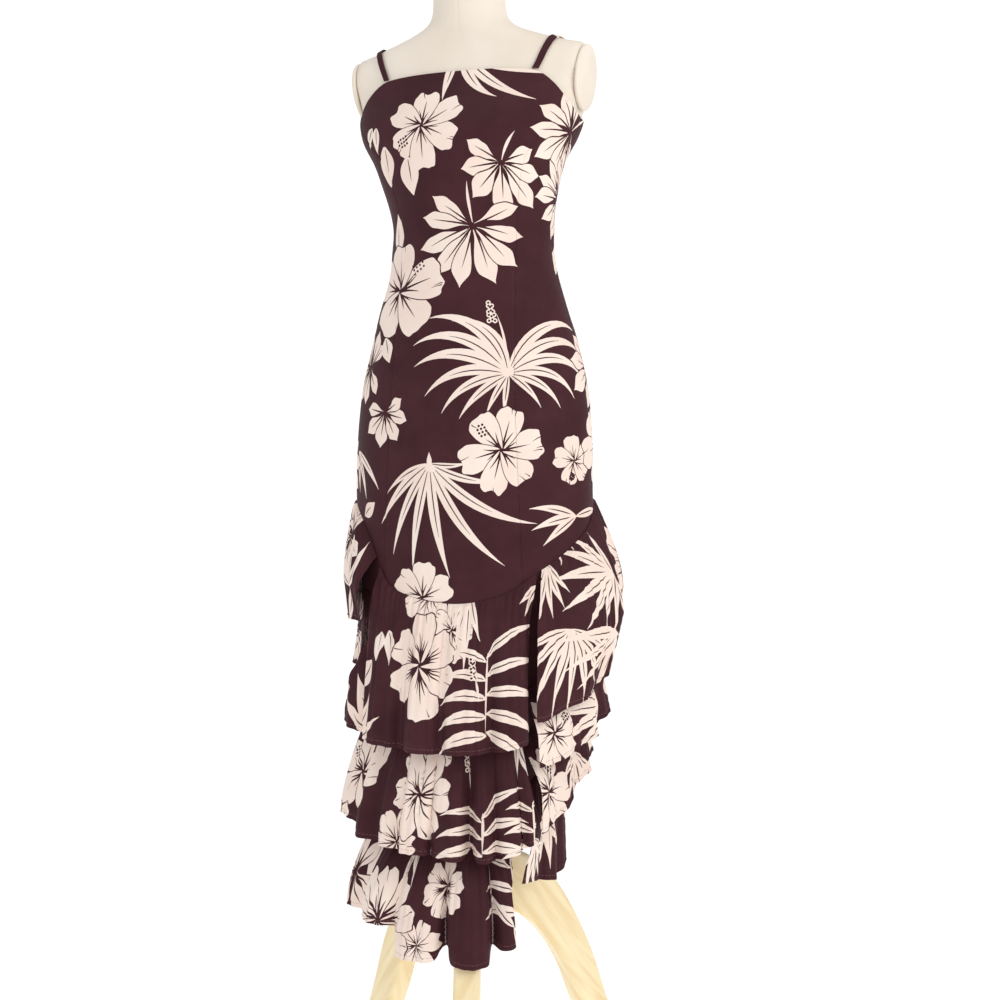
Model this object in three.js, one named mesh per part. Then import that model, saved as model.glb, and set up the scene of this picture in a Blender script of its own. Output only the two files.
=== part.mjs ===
import * as THREE from 'three';
import { mergeVertices } from 'three/addons/utils/BufferGeometryUtils.js';

// A sleeveless tiered dance dress, worn by a limbless dress form on a wooden
// tripod. Millimetres, +Z up, the dress faces -Y, +X is the wearer's left.
// Angles go round the body in degrees: 0 is centre front, 90 the wearer's left
// side, -90 the wearer's right side, 180 centre back.

// ---- driving dimensions ----
const cloth = 1.2;            // wall of the fitted panels
const flounceCloth = 1.8;     // wall of a gathered strip, measured outward
const seamGap = 0.3;          // clear space between two pieces at a seam
const layerGap = 0.8;         // clear space between two curved layers
const formEase = 3;           // clear space between the form and the dress
const underskirtHem = 352;    // height of the hidden skirt's lower edge
const junctionGap = 3;        // degrees between a front flounce and a side one
const flounceOverlap = 38;    // how far a flounce hides the top of the next one
const strapWidth = 9;
const strapX = 110;           // distance of a strap's ends from the centre of the body
const strapTopX = 132;        // and on top of the shoulder: the straps lean outward
const strapAngles = { front: 34, back: 150 };  // where its inner edge meets the top edge
const formBottom = 832;
const armFlatX = 162.5;       // flat side of the form at an arm plate's centre
const armLean = 7;            // degrees by which the top of an arm plate leans out
const armFlatLow = 1340;      // the flat sides lie above this height
const plateRise = 46;         // half height of an arm plate
const plateReach = 48;        // half depth of an arm plate
const plateThick = 6;
const plateBevel = 1.5;
const plateY = 3;             // an arm plate's centre, behind the pole's axis
const plateHeight = 1413;     // height of an arm plate's centre
const poleRadius = 12.5;
const poleBottom = 322;
const collarRadius = 42;
const collarHeight = 20;
const hubRadius = 30;
const hubHeight = 100;
const legThick = 35;
const legAngles = [16, 132, -119];

// ---- tables ----
// One row for each level of the body, as the dress covers it: half width,
// depth before and behind the centre, the centre's place and the squareness.
const bodyRows = [
  { z: 1580, half: 55, front: 55, back: 55, centre: -19, square: 2 },
  { z: 1535, half: 55, front: 55, back: 56, centre: -17, square: 2 },
  { z: 1508, half: 58, front: 58, back: 61, centre: -13, square: 2 },
  { z: 1494, half: 68, front: 60, back: 66, centre: -9, square: 2 },
  { z: 1483, half: 88, front: 62, back: 71, centre: -6, square: 2.1 },
  { z: 1474, half: 114, front: 63, back: 76, centre: -3, square: 2.2 },
  { z: 1466, half: 139, front: 63, back: 79, centre: -1, square: 2.3 },
  { z: 1457, half: 158, front: 63, back: 81, centre: 0, square: 2.4 },
  { z: 1440, half: 169, front: 65, back: 85, centre: 0, square: 2.5 },
  { z: 1415, half: 169, front: 69, back: 91, centre: 0, square: 2.5 },
  { z: 1380, half: 166, front: 86, back: 95, centre: -3, square: 2.4 },
  { z: 1355, half: 163, front: 98, back: 97, centre: -8, square: 2.3 },
  { z: 1330, half: 155, front: 107, back: 97, centre: -12, square: 2.2 },
  { z: 1300, half: 139, front: 103, back: 97, centre: -14, square: 2.1 },
  { z: 1270, half: 129, front: 96, back: 94, centre: -11, square: 2.1 },
  { z: 1225, half: 119, front: 90, back: 88, centre: 0, square: 2 },
  { z: 1185, half: 118, front: 90, back: 90, centre: 0, square: 2 },
  { z: 1140, half: 123, front: 95, back: 97, centre: 1, square: 2 },
  { z: 1089, half: 138, front: 103, back: 109, centre: 3, square: 2 },
  { z: 1040, half: 152, front: 107, back: 118, centre: 5, square: 2 },
  { z: 985, half: 165, front: 110, back: 121, centre: 4, square: 2 },
  { z: 922, half: 172, front: 112, back: 118, centre: 3, square: 2 },
  { z: 860, half: 174, front: 112, back: 114, centre: 2, square: 2 },
  { z: 770, half: 173, front: 113, back: 113, centre: 2, square: 2 },
  { z: 680, half: 165, front: 114, back: 111, centre: 2, square: 2 },
  { z: 520, half: 137, front: 110, back: 103, centre: 0, square: 2 },
  { z: 400, half: 110, front: 100, back: 92, centre: 0, square: 2 },
  { z: 300, half: 88, front: 90, back: 82, centre: 0, square: 2 },
];

// The bodice's upper edge: neckline, strap corners, armholes and back.
const topEdge = [
  { angle: 0, z: 1419 }, { angle: 24, z: 1417 }, { angle: 38, z: 1412 }, { angle: 50, z: 1397 },
  { angle: 62, z: 1379 }, { angle: 76, z: 1362 }, { angle: 90, z: 1354 }, { angle: 105, z: 1355 },
  { angle: 125, z: 1366 }, { angle: 146, z: 1376 }, { angle: 180, z: 1378 },
];

// The shaped seam between centre front and side front, from armhole to flounce.
const princessSeam = [
  { z: 1400, angle: 69 }, { z: 1372, angle: 67 }, { z: 1345, angle: 63 }, { z: 1318, angle: 55 },
  { z: 1290, angle: 49 }, { z: 1255, angle: 47 }, { z: 1200, angle: 47 }, { z: 1129, angle: 43 },
  { z: 1059, angle: 37 }, { z: 985, angle: 33 }, { z: 900, angle: 33 }, { z: 780, angle: 35 },
  { z: 660, angle: 38 },
];

// The curved seam that carries the first flounces: low at the front.
const flounceSeam = [
  { angle: -180, z: 836 }, { angle: -115, z: 834 }, { angle: -85, z: 826 }, { angle: -68, z: 812 },
  { angle: -57, z: 795 }, { angle: -49, z: 773 }, { angle: -42, z: 743 }, { angle: -34, z: 708 },
  { angle: -20, z: 690 }, { angle: 0, z: 681 }, { angle: 15, z: 684 }, { angle: 30, z: 697 },
  { angle: 44, z: 722 }, { angle: 56, z: 741 }, { angle: 72, z: 767 }, { angle: 90, z: 796 },
  { angle: 110, z: 826 }, { angle: 140, z: 835 }, { angle: 180, z: 836 },
];

// Where the front flounces end and the side and back ones begin, by height.
const junctions = [
  { z: 800, right: -41, left: 45 }, { z: 722, right: -41, left: 45.5 }, { z: 620, right: -52, left: 43.5 },
  { z: 514, right: -66, left: 43 }, { z: 385, right: -70, left: 46 }, { z: 300, right: -70, left: 39 },
  { z: 230, right: -70, left: 38 }, { z: 190, right: -70, left: 37 },
];

// Each front flounce: its hem's height by angle, how far the hem stands out to
// the side and to the front, and its folds (depth is outward, wide in degrees).
const frontFlounces = [
  {
    hem: [{ angle: -72, z: 514 }, { angle: -50, z: 496 }, { angle: -30, z: 486 }, { angle: 0, z: 480 },
      { angle: 25, z: 484 }, { angle: 46, z: 497 }],
    side: 182, front: 152,
    folds: [
      { angle: -60, wide: 6, depth: 6 }, { angle: -48, wide: 4, depth: -13 }, { angle: -34, wide: 5, depth: 6 },
      { angle: -20, wide: 3.5, depth: -11 }, { angle: -9, wide: 5, depth: 7 }, { angle: 1, wide: 2.5, depth: -10 },
      { angle: 11, wide: 5, depth: 5 }, { angle: 23, wide: 3, depth: -11 }, { angle: 33, wide: 5, depth: 8 },
      { angle: 44, wide: 3, depth: -12 },
    ],
  },
  {
    hem: [{ angle: -72, z: 385 }, { angle: -58, z: 376 }, { angle: -44, z: 357 }, { angle: -20, z: 347 },
      { angle: 0, z: 343 }, { angle: 11, z: 340 }, { angle: 15, z: 356 }, { angle: 18, z: 338 },
      { angle: 36, z: 350 }, { angle: 48, z: 362 }],
    side: 187, front: 157,
    folds: [
      { angle: -62, wide: 6, depth: 7 }, { angle: -50, wide: 4, depth: -13 }, { angle: -42, wide: 4, depth: 6 },
      { angle: -34, wide: 3.5, depth: -15 }, { angle: -20, wide: 3, depth: -9 }, { angle: -12, wide: 5, depth: 7 },
      { angle: -3, wide: 2, depth: -11 }, { angle: 6, wide: 4, depth: 6 }, { angle: 14.5, wide: 3, depth: -24 },
      { angle: 20.5, wide: 3, depth: 8 }, { angle: 26, wide: 2, depth: -11 }, { angle: 32, wide: 4, depth: 6 },
      { angle: 39, wide: 2.2, depth: -12 }, { angle: 45, wide: 3, depth: -8 },
    ],
  },
  {
    hem: [{ angle: -72, z: 259 }, { angle: -54, z: 252 }, { angle: -30, z: 243 }, { angle: -24, z: 240 },
      { angle: -20, z: 212 }, { angle: -8, z: 206 }, { angle: 0, z: 207 }, { angle: 2.5, z: 222 }, { angle: 7, z: 222 },
      { angle: 9, z: 205 }, { angle: 24, z: 204 }, { angle: 27, z: 226 }, { angle: 31, z: 222 },
      { angle: 40, z: 229 }],
    side: 176, front: 166,
    folds: [
      { angle: -60, wide: 6, depth: 7 }, { angle: -48, wide: 4, depth: -10 }, { angle: -35, wide: 6, depth: 9 },
      { angle: -23, wide: 2.6, depth: -16 }, { angle: -10, wide: 9, depth: 9 }, { angle: 4.5, wide: 2.8, depth: -20 },
      { angle: 16, wide: 8, depth: 13 }, { angle: 28, wide: 2.4, depth: -21 }, { angle: 34, wide: 4, depth: 6 },
    ],
  },
];

// Each side and back flounce: the hem's height by angle all the way round the
// back, how far its fullest part and its hem stand out on the left, at the back
// and on the right, the wave's height, and the oval in which its front edge on
// the left meets the front flounce.
const backFlounces = [
  {
    hem: [{ angle: 45, z: 524 }, { angle: 57, z: 538 }, { angle: 80, z: 565 }, { angle: 100, z: 602 },
      { angle: 116, z: 625 }, { angle: 180, z: 640 }, { angle: 250, z: 652 }, { angle: 290, z: 655 },
      { angle: 310, z: 652 }, { angle: 322, z: 648 }],
    full: { left: 215, back: 160, right: 187 }, edge: { left: 193, back: 152, right: 178 }, wave: 8,
    meet: { side: 182, deep: 152 },
  },
  {
    hem: [{ angle: 45, z: 462 }, { angle: 57, z: 474 }, { angle: 80, z: 500 }, { angle: 100, z: 526 },
      { angle: 116, z: 538 }, { angle: 180, z: 556 }, { angle: 250, z: 578 }, { angle: 290, z: 588 },
      { angle: 322, z: 560 }],
    full: { left: 186, back: 143, right: 168 }, edge: { left: 191, back: 147, right: 172 }, wave: 8,
    meet: { side: 187, deep: 155 },
  },
  {
    hem: [{ angle: 45, z: 372 }, { angle: 57, z: 388 }, { angle: 70, z: 412 }, { angle: 85, z: 443 },
      { angle: 100, z: 458 }, { angle: 116, z: 476 }, { angle: 180, z: 486 }, { angle: 250, z: 492 },
      { angle: 290, z: 490 }, { angle: 322, z: 470 }],
    full: { left: 164, back: 130, right: 149 }, edge: { left: 170, back: 134, right: 154 }, wave: 7,
    meet: { side: 182, deep: 150 },
  },
  {
    hem: [{ angle: 42, z: 306 }, { angle: 57, z: 302 }, { angle: 72, z: 297 }, { angle: 88, z: 300 },
      { angle: 102, z: 334 }, { angle: 116, z: 374 }, { angle: 180, z: 392 }, { angle: 250, z: 396 },
      { angle: 290, z: 388 }, { angle: 322, z: 372 }],
    full: { left: 132, back: 116, right: 134 }, edge: { left: 132, back: 119, right: 138 }, wave: 6,
    meet: { side: 168, deep: 150 },
  },
];

// The leg's outline in its own plane: distance from the pole, height.
const legOuter = [[30.3, 318], [60, 320], [92, 305], [120, 278], [152, 229], [184, 162], [208, 92],
  [228, 46], [262, 15], [268, 0]];
const legInner = [[212, 0], [190, 24], [172, 62], [156, 98], [136, 148], [104, 196], [66, 228], [30.3, 238]];

// ---- finishes ----
const printedCloth = new THREE.MeshStandardMaterial({ color: 0x46242b, roughness: 0.7, metalness: 0 });
const coverCloth = new THREE.MeshStandardMaterial({ color: 0xebe2d5, roughness: 0.9, metalness: 0 });
const pineWood = new THREE.MeshStandardMaterial({ color: 0xf0dcae, roughness: 0.5, metalness: 0 });

const group = new THREE.Group();
const radians = THREE.MathUtils.degToRad;
const mix = THREE.MathUtils.lerp;

function addPiece(name, geometry, material) {
  const mesh = new THREE.Mesh(geometry, material);
  mesh.name = name;
  group.add(mesh);
  return mesh;
}

// ---- reading the tables ----
// A smooth value between two rows: key is the column to look up, value the one to read.
function lookUp(rows, key, value, at) {
  const rising = rows[0][key] < rows[rows.length - 1][key];
  const list = rising ? rows : [...rows].reverse();
  const last = list.length - 1;
  if (at <= list[0][key]) return list[0][value];
  if (at >= list[last][key]) return list[last][value];
  let i = 0;
  while (at > list[i + 1][key]) i += 1;
  const slope = (k) => {
    if (k <= 0 || k >= last) return 0;
    return (list[k + 1][value] - list[k - 1][value]) / (list[k + 1][key] - list[k - 1][key]);
  };
  const span = list[i + 1][key] - list[i][key];
  const t = (at - list[i][key]) / span;
  const t2 = t * t;
  const t3 = t2 * t;
  return (2 * t3 - 3 * t2 + 1) * list[i][value] + (t3 - 2 * t2 + t) * span * slope(i)
    + (3 * t2 - 2 * t3) * list[i + 1][value] + (t3 - t2) * span * slope(i + 1);
}

// The angle in -180..180 for the tables that go from side to side.
const wrapped = (angle) => (angle > 180 ? angle - 360 : angle);

const bodyAt = (column, z) => lookUp(bodyRows, 'z', column, z);

// A point on the body's section at a height, moved outward by lift.
function bodyPoint(angle, z, lift) {
  const s = Math.sin(radians(angle));
  const c = Math.cos(radians(angle));
  const power = 2 / bodyAt('square', z);
  const half = bodyAt('half', z) + lift;
  const deep = bodyAt(c > 0 ? 'front' : 'back', z) + lift;
  const x = half * Math.sign(s) * Math.abs(s) ** power;
  const y = bodyAt('centre', z) - deep * Math.sign(c) * Math.abs(c) ** power;
  return new THREE.Vector3(x, y, z);
}

// ---- solids from grids of points ----
function geometryFrom(points, triangles) {
  const geometry = new THREE.BufferGeometry();
  geometry.setAttribute('position', new THREE.Float32BufferAttribute(points.flatMap((p) => [p.x, p.y, p.z]), 3));
  geometry.setIndex(triangles.flat());
  const merged = mergeVertices(geometry, 1e-4);
  merged.computeVertexNormals();
  return merged;
}

// A wall: an outer and an inner grid of points joined round their edges.
// across goes to the wearer's left, down goes to the hem.
function wallGeometry(columns, rows, outerPoint, innerPoint) {
  const points = [];
  const triangles = [];
  const stride = columns + 1;
  const size = stride * (rows + 1);
  for (const pointAt of [outerPoint, innerPoint]) {
    for (let j = 0; j <= rows; j += 1) {
      for (let i = 0; i <= columns; i += 1) points.push(pointAt(i / columns, j / rows));
    }
  }
  const quad = (a, b, c, d) => triangles.push([a, b, c], [a, c, d]);
  for (let j = 0; j < rows; j += 1) {
    for (let i = 0; i < columns; i += 1) {
      const a = j * stride + i;
      quad(a, a + stride, a + stride + 1, a + 1);
      quad(size + a, size + a + 1, size + a + stride + 1, size + a + stride);
    }
  }
  for (let i = 0; i < columns; i += 1) {
    const low = rows * stride + i;
    quad(i, i + 1, size + i + 1, size + i);
    quad(low + 1, low, size + low, size + low + 1);
  }
  for (let j = 0; j < rows; j += 1) {
    const a = j * stride;
    const b = a + columns;
    quad(a + stride, a, size + a, size + a + stride);
    quad(b, b + stride, size + b + stride, size + b);
  }
  return geometryFrom(points, triangles);
}

// A solid lofted through closed rings of points, bottom ring first.
function ringSolid(levels, columns, pointAt) {
  const points = [];
  const triangles = [];
  levels.forEach((z) => {
    for (let i = 0; i < columns; i += 1) points.push(pointAt((360 * i) / columns, z));
  });
  for (let j = 0; j < levels.length - 1; j += 1) {
    for (let i = 0; i < columns; i += 1) {
      const a = j * columns + i;
      const b = j * columns + ((i + 1) % columns);
      triangles.push([a, b, b + columns], [a, b + columns, a + columns]);
    }
  }
  const first = points.length;
  const lastRing = (levels.length - 1) * columns;
  const middle = (z) => new THREE.Vector3(0, bodyAt('centre', z), z);
  points.push(middle(levels[0]), middle(levels[levels.length - 1]));
  for (let i = 0; i < columns; i += 1) {
    const next = (i + 1) % columns;
    triangles.push([next, i, first], [lastRing + i, lastRing + next, first + 1]);
  }
  return geometryFrom(points, triangles);
}

// ---- fitted panels ----
// A panel lies between two edge angles, which may change with height. Its rows
// spread from the top edge to the bust, keep the body's levels down to the hips
// and spread again from there to the flounce seam.
const panelLevels = [1330, 1300, 1270, 1225, 1185, 1140, 1089, 1040, 985, 922, 860];
const rowsAbove = 5;
const rowsBelow = 2;
const settlePasses = 12;      // angle and height depend on each other, so they are found in turns
const panelRows = rowsAbove + panelLevels.length - 1 + rowsBelow;

function panelHeight(angle, row) {
  if (row < rowsAbove) {
    const top = lookUp(topEdge, 'angle', 'z', Math.abs(wrapped(angle)));
    return mix(top, panelLevels[0], row / rowsAbove);
  }
  const level = row - rowsAbove;
  const lowest = panelLevels.length - 1;
  if (level <= lowest) return panelLevels[level];
  return mix(panelLevels[lowest], lookUp(flounceSeam, 'angle', 'z', wrapped(angle)), (level - lowest) / rowsBelow);
}

function fittedPanel(name, columns, angleAt) {
  const pointAt = (lift) => (across, down) => {
    const row = Math.round(down * panelRows);
    let z = 1000;
    let angle = 0;
    for (let pass = 0; pass < settlePasses; pass += 1) {
      angle = angleAt(across, z);
      z = panelHeight(angle, row);
    }
    return bodyPoint(angle, z, lift);
  };
  addPiece(name, wallGeometry(columns, panelRows, pointAt(0), pointAt(-cloth)), printedCloth);
}

// Half a seam's clear space as an angle at this height, on the body's mean radius.
const meanRadius = 0.8;       // of the half width
const gapAngle = (z) => THREE.MathUtils.radToDeg(seamGap / 2 / (meanRadius * bodyAt('half', z)));
const princessAt = (z) => lookUp(princessSeam, 'z', 'angle', z);

function makeFittedPanels() {
  fittedPanel('bodice_front_centre', 16, (across, z) => {
    const reach = princessAt(z) - gapAngle(z);
    return mix(-reach, reach, across);
  });
  for (const [label, sign] of [['left', 1], ['right', -1]]) {
    fittedPanel(`bodice_front_side_${label}`, 5, (across, z) => {
      const inner = princessAt(z) + gapAngle(z);
      const outer = 90 - gapAngle(z);
      return sign > 0 ? mix(inner, outer, across) : mix(-outer, -inner, across);
    });
    fittedPanel(`bodice_back_${label}`, 9, (across, z) => {
      const inner = 90 + gapAngle(z);
      const outer = 180 - gapAngle(z);
      return sign > 0 ? mix(inner, outer, across) : mix(-outer, -inner, across);
    });
  }
}

// ---- shoulder straps ----
// Each edge of a strap follows the form over the shoulder, further out the
// higher it is. The ridge is the height where the form is as wide as the edge's place.
const formInset = -cloth - formEase;
const shoulderRows = bodyRows.filter((row) => row.z >= 1440);
const strapSteps = 9;         // from an end to the ridge
const strapRest = 2.6;        // clear space between strap and shoulder

function strapPath(offset) {
  const topX = strapTopX + offset;
  const ridge = lookUp(shoulderRows, 'half', 'z', topX - formInset);
  const ends = {
    front: lookUp(topEdge, 'angle', 'z', strapAngles.front) + seamGap,
    back: lookUp(topEdge, 'angle', 'z', strapAngles.back) + seamGap,
  };
  const crossing = (side, step) => {
    const climb = Math.sin(((step / strapSteps) * Math.PI) / 2);
    const z = mix(ends[side], ridge, climb);
    const x = mix(strapX + offset, topX, climb);
    const power = bodyAt('square', z);
    const share = Math.min(1, x / (bodyAt('half', z) + formInset));
    const deep = (bodyAt(side, z) + formInset) * (1 - share ** power) ** (1 / power);
    return new THREE.Vector3(x, bodyAt('centre', z) + (side === 'front' ? -deep : deep), z);
  };
  const path = [];
  for (let step = 0; step < strapSteps; step += 1) path.push(crossing('front', step));
  for (let step = strapSteps; step >= 0; step -= 1) path.push(crossing('back', step));
  return path;
}

function strapGeometry(sign) {
  const pointAt = (extra) => (across, along) => {
    const fromMiddle = mix(-strapWidth / 2, strapWidth / 2, across);
    const path = strapPath(sign * fromMiddle);
    const last = path.length - 1;
    const k = Math.round((1 - along) * last);
    const tangent = path[Math.min(last, k + 1)].clone().sub(path[Math.max(0, k - 1)]).normalize();
    const lift = mix(formEase, strapRest, Math.sin((k / last) * Math.PI) ** 0.5) + extra;
    const end = k === 0 || k === last ? 0 : 1;
    const size = Math.hypot(tangent.y, tangent.z);
    const y = path[k].y - (tangent.z / size) * lift;
    const z = path[k].z + (tangent.y / size) * lift * end;
    return new THREE.Vector3(sign * path[k].x, y, z);
  };
  return wallGeometry(1, 2 * strapSteps, pointAt(cloth), pointAt(0));
}

// ---- hidden underskirt ----
const underskirtLift = -cloth - layerGap;

function makeUnderskirt() {
  const panels = [['underskirt_front', -90, 90], ['underskirt_back', 90, 270]];
  for (const [name, from, to] of panels) {
    const pointAt = (extra) => (across, down) => {
      const gap = gapAngle(underskirtHem);
      const angle = mix(from + gap, to - gap, across);
      const top = lookUp(flounceSeam, 'angle', 'z', wrapped(angle)) - seamGap;
      return bodyPoint(angle, mix(top, underskirtHem, down), underskirtLift + extra);
    };
    addPiece(name, wallGeometry(18, 5, pointAt(0), pointAt(-cloth)), printedCloth);
  }
}

// ---- flounces ----
const foldPower = 2.6;        // more is a flatter ridge with steeper sides
const topDrop = 30;           // a tucked strip starts at least this far below the seam
const swell = 0.9;            // a front flounce's fullness towards its hem
const sag = 0.62;             // a back flounce is fullest at this share of its drop
const meetWide = 11;          // degrees in which a side flounce turns to meet the front one
const foldLift = (folds, angle) => folds.reduce(
  (sum, fold) => sum + fold.depth * Math.exp(-(Math.abs((angle - fold.angle) / fold.wide) ** foldPower)), 0);

// A point of a flounce: it starts on the body's section and moves out to an
// oval of the given half width and depth, plus its folds.
function flouncePoint(angle, z, share, oval, lift) {
  const s = Math.sin(radians(angle));
  const c = Math.cos(radians(angle));
  const half = mix(bodyAt('half', z), oval.side, share) + lift;
  const deep = mix(bodyAt(c > 0 ? 'front' : 'back', z), oval.deep, share) + lift;
  return new THREE.Vector3(half * s, bodyAt('centre', z) * (1 - share) - deep * c, z);
}

// The first flounces lie on the fitted panels' lower edge, the others on the underskirt.
const flounceLift = (index) => (index === 0 ? layerGap : underskirtLift + layerGap / 2);

const hemAt = (flounce, angle) => lookUp(flounce.hem, 'angle', 'z', angle);
const seamAt = (angle) => lookUp(flounceSeam, 'angle', 'z', wrapped(angle));

// The top edge of each strip: the seam for the first, tucked under for the rest.
function stripTop(list, index, angle) {
  if (index === 0) return seamAt(angle) - seamGap;
  return Math.min(hemAt(list[index - 1], angle) + flounceOverlap, seamAt(angle) - topDrop);
}

function makeFrontFlounces() {
  frontFlounces.forEach((flounce, index) => {
    const columns = 44;
    const rows = 4;
    const pointAt = (extra) => (across, down) => {
      let angle = 0;
      let z = 500;
      for (let pass = 0; pass < settlePasses; pass += 1) {
        const right = lookUp(junctions, 'z', 'right', z) + junctionGap / 2;
        const left = lookUp(junctions, 'z', 'left', z) - junctionGap / 2;
        angle = mix(right, left, across);
        z = mix(stripTop(frontFlounces, index, angle), hemAt(flounce, angle), down);
      }
      const share = Math.sin((down * Math.PI) / 2) ** swell;
      const lift = foldLift(flounce.folds, angle) * down ** 0.8 + extra;
      return flouncePoint(angle, z, share, { side: flounce.side, deep: flounce.front }, lift);
    };
    const inner = flounceLift(index);
    const geometry = wallGeometry(columns, rows, pointAt(inner + flounceCloth), pointAt(inner));
    addPiece(`flounce_front_${index + 1}`, geometry, printedCloth);
  });
}

function makeBackFlounces() {
  const waveStep = 21;            // degrees from one fold to the next
  const slowStep = 83;            // the folds' depth changes over this many degrees
  backFlounces.forEach((flounce, index) => {
    const phase = 9 * index;
    const folds = (angle) => flounce.wave * Math.sin(radians(((angle - phase) * 360) / waveStep))
      * (0.7 + 0.3 * Math.sin(radians(((angle + phase) * 360) / slowStep)));
    for (const side of ['left', 'right']) {
      const columns = 24;
      const rows = 3;
      const pointAt = (extra) => (across, down) => {
        let angle = 180;
        let left = 45;
        let z = 500;
        for (let pass = 0; pass < settlePasses; pass += 1) {
          left = lookUp(junctions, 'z', 'left', z) + junctionGap / 2;
          const right = 360 + lookUp(junctions, 'z', 'right', z) - junctionGap / 2;
          const half = gapAngle(z);
          angle = side === 'left' ? mix(left, 180 - half, across) : mix(180 + half, right, across);
          z = mix(stripTop(backFlounces, index, angle), hemAt(flounce, angle), down);
        }
        const fullness = Math.min(1, down / sag);
        const tuck = Math.max(0, (down - sag) / (1 - sag));
        const near = side === 'left' ? Math.exp(-(((angle - left) / meetWide) ** 2)) : 0;
        const oval = {
          side: mix(mix(flounce.full[side], flounce.edge[side], tuck), flounce.meet.side, near),
          deep: mix(mix(flounce.full.back, flounce.edge.back, tuck), flounce.meet.deep, near),
        };
        const share = Math.sin((fullness * Math.PI) / 2);
        const lift = folds(angle) * down ** 1.4 + extra;
        return flouncePoint(angle, z, share, oval, lift);
      };
      const inner = flounceLift(index);
      const geometry = wallGeometry(columns, rows, pointAt(inner + flounceCloth), pointAt(inner));
      addPiece(`flounce_back_${index + 1}_${side}`, geometry, printedCloth);
    }
  });
}

// ---- the dress form ----
const smooth = (x) => THREE.MathUtils.smoothstep(x, 0, 1);
const padInner = 0.9;         // the pad is full inside this share of the plate's oval
const padFade = 0.5;          // and fades out over this much more
const padUnder = 0.5;         // clear space between the pad and the plate
const strapClear = 2;         // the pad starts this far outside the strap
const strapFade = 12;
const padClear = 8;           // the swelling starts this far above the dress's upper edge
const padRise = 18;           // and is full this much higher
const strapLow = 1376;        // a strap climbs from this height at the back
const strapHigh = 1465;       // to this one on the shoulder

// The form swells out to the arm plates' flat sides above the dress's upper
// edge, but not on top of the shoulder, where the straps lie.
function shoulderPad(point, angle, z) {
  if (z < armFlatLow) return point;
  const flat = armFlatX + (z - plateHeight) * Math.tan(radians(armLean));
  const side = Math.abs(point.x);
  const away = Math.hypot((point.y - plateY) / plateReach, (z - plateHeight) / plateRise);
  const bare = smooth((z - lookUp(topEdge, 'angle', 'z', Math.abs(wrapped(angle))) - padClear) / padRise);
  const strapAt = mix(strapX, strapTopX, (z - strapLow) / (strapHigh - strapLow)) + strapWidth / 2;
  const offStraps = smooth((side - strapAt - strapClear) / strapFade);
  const share = (1 - smooth((away - padInner) / padFade)) * bare * offStraps;
  const target = side > flat ? flat : mix(side, flat - padUnder, share);
  point.x = Math.sign(point.x) * target;
  return point;
}

function makeForm() {
  const levels = [formBottom, 862, 920, 985, 1040, 1089, 1140, 1185, 1225, 1270, 1300, 1330, 1355, 1368, 1388,
    1400, 1415, 1428, 1440, 1450, 1457, 1466, 1474, 1483, 1494, 1508, 1535, 1580];
  const torso = ringSolid(levels, 36, (angle, z) => shoulderPad(bodyPoint(angle, z, formInset), angle, z));
  addPiece('form_torso', torso, coverCloth);
  for (const [label, sign] of [['left', 1], ['right', -1]]) {
    const outline = new THREE.Shape();
    outline.absellipse(0, 0, plateReach, plateRise, 0, Math.PI * 2);
    const plate = new THREE.ExtrudeGeometry(outline, {
      depth: plateThick - 2 * plateBevel, bevelEnabled: true, bevelThickness: plateBevel, bevelSize: plateBevel,
      bevelOffset: -plateBevel, bevelSegments: 1, curveSegments: 16,
    });
    plate.rotateX(Math.PI / 2);
    plate.rotateZ(Math.PI / 2);
    plate.translate(sign > 0 ? plateBevel : -plateThick + plateBevel, 0, 0);
    const mesh = addPiece(`form_arm_plate_${label}`, plate, coverCloth);
    mesh.rotation.y = sign * radians(armLean);
    mesh.position.set(sign * (armFlatX + seamGap), plateY, plateHeight);
  }
}

// ---- pole and tripod ----
function makeStand() {
  const upright = (radius, low, high, count) => {
    const geometry = new THREE.CylinderGeometry(radius, radius, high - low, count);
    geometry.rotateX(Math.PI / 2);
    geometry.translate(0, 0, (low + high) / 2);
    return geometry;
  };
  const collarTop = formBottom - seamGap;
  const sides = 32;
  addPiece('stand_collar', upright(collarRadius, collarTop - collarHeight, collarTop, sides), pineWood);
  const poleTop = collarTop - collarHeight - seamGap;
  addPiece('stand_pole', upright(poleRadius, poleBottom + seamGap, poleTop, sides), pineWood);

  addPiece('stand_hub', upright(hubRadius, poleBottom - hubHeight, poleBottom, sides), pineWood);

  const edge = (points, count) => {
    const curve = new THREE.SplineCurve(points.map(([x, y]) => new THREE.Vector2(x, y)));
    return curve.getPoints(count);
  };
  const outline = new THREE.Shape([...edge(legOuter, 22), ...edge(legInner, 18)]);
  legAngles.forEach((angle, index) => {
    const board = new THREE.ExtrudeGeometry(outline, { depth: legThick, bevelEnabled: false });
    board.translate(0, 0, -legThick / 2);
    board.rotateX(Math.PI / 2);
    const leg = addPiece(`stand_leg_${index + 1}`, board, pineWood);
    leg.rotation.z = radians(angle - 90);
  });
}

makeFittedPanels();
addPiece('strap_left', strapGeometry(1), printedCloth);
addPiece('strap_right', strapGeometry(-1), printedCloth);
makeUnderskirt();
makeFrontFlounces();
makeBackFlounces();
makeForm();
makeStand();

// The origin is on the floor, under the middle of the whole object.
const bounds = new THREE.Box3().setFromObject(group, true);
const centre = bounds.getCenter(new THREE.Vector3());
group.position.set(-centre.x, -centre.y, 0);

export default group;
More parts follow.
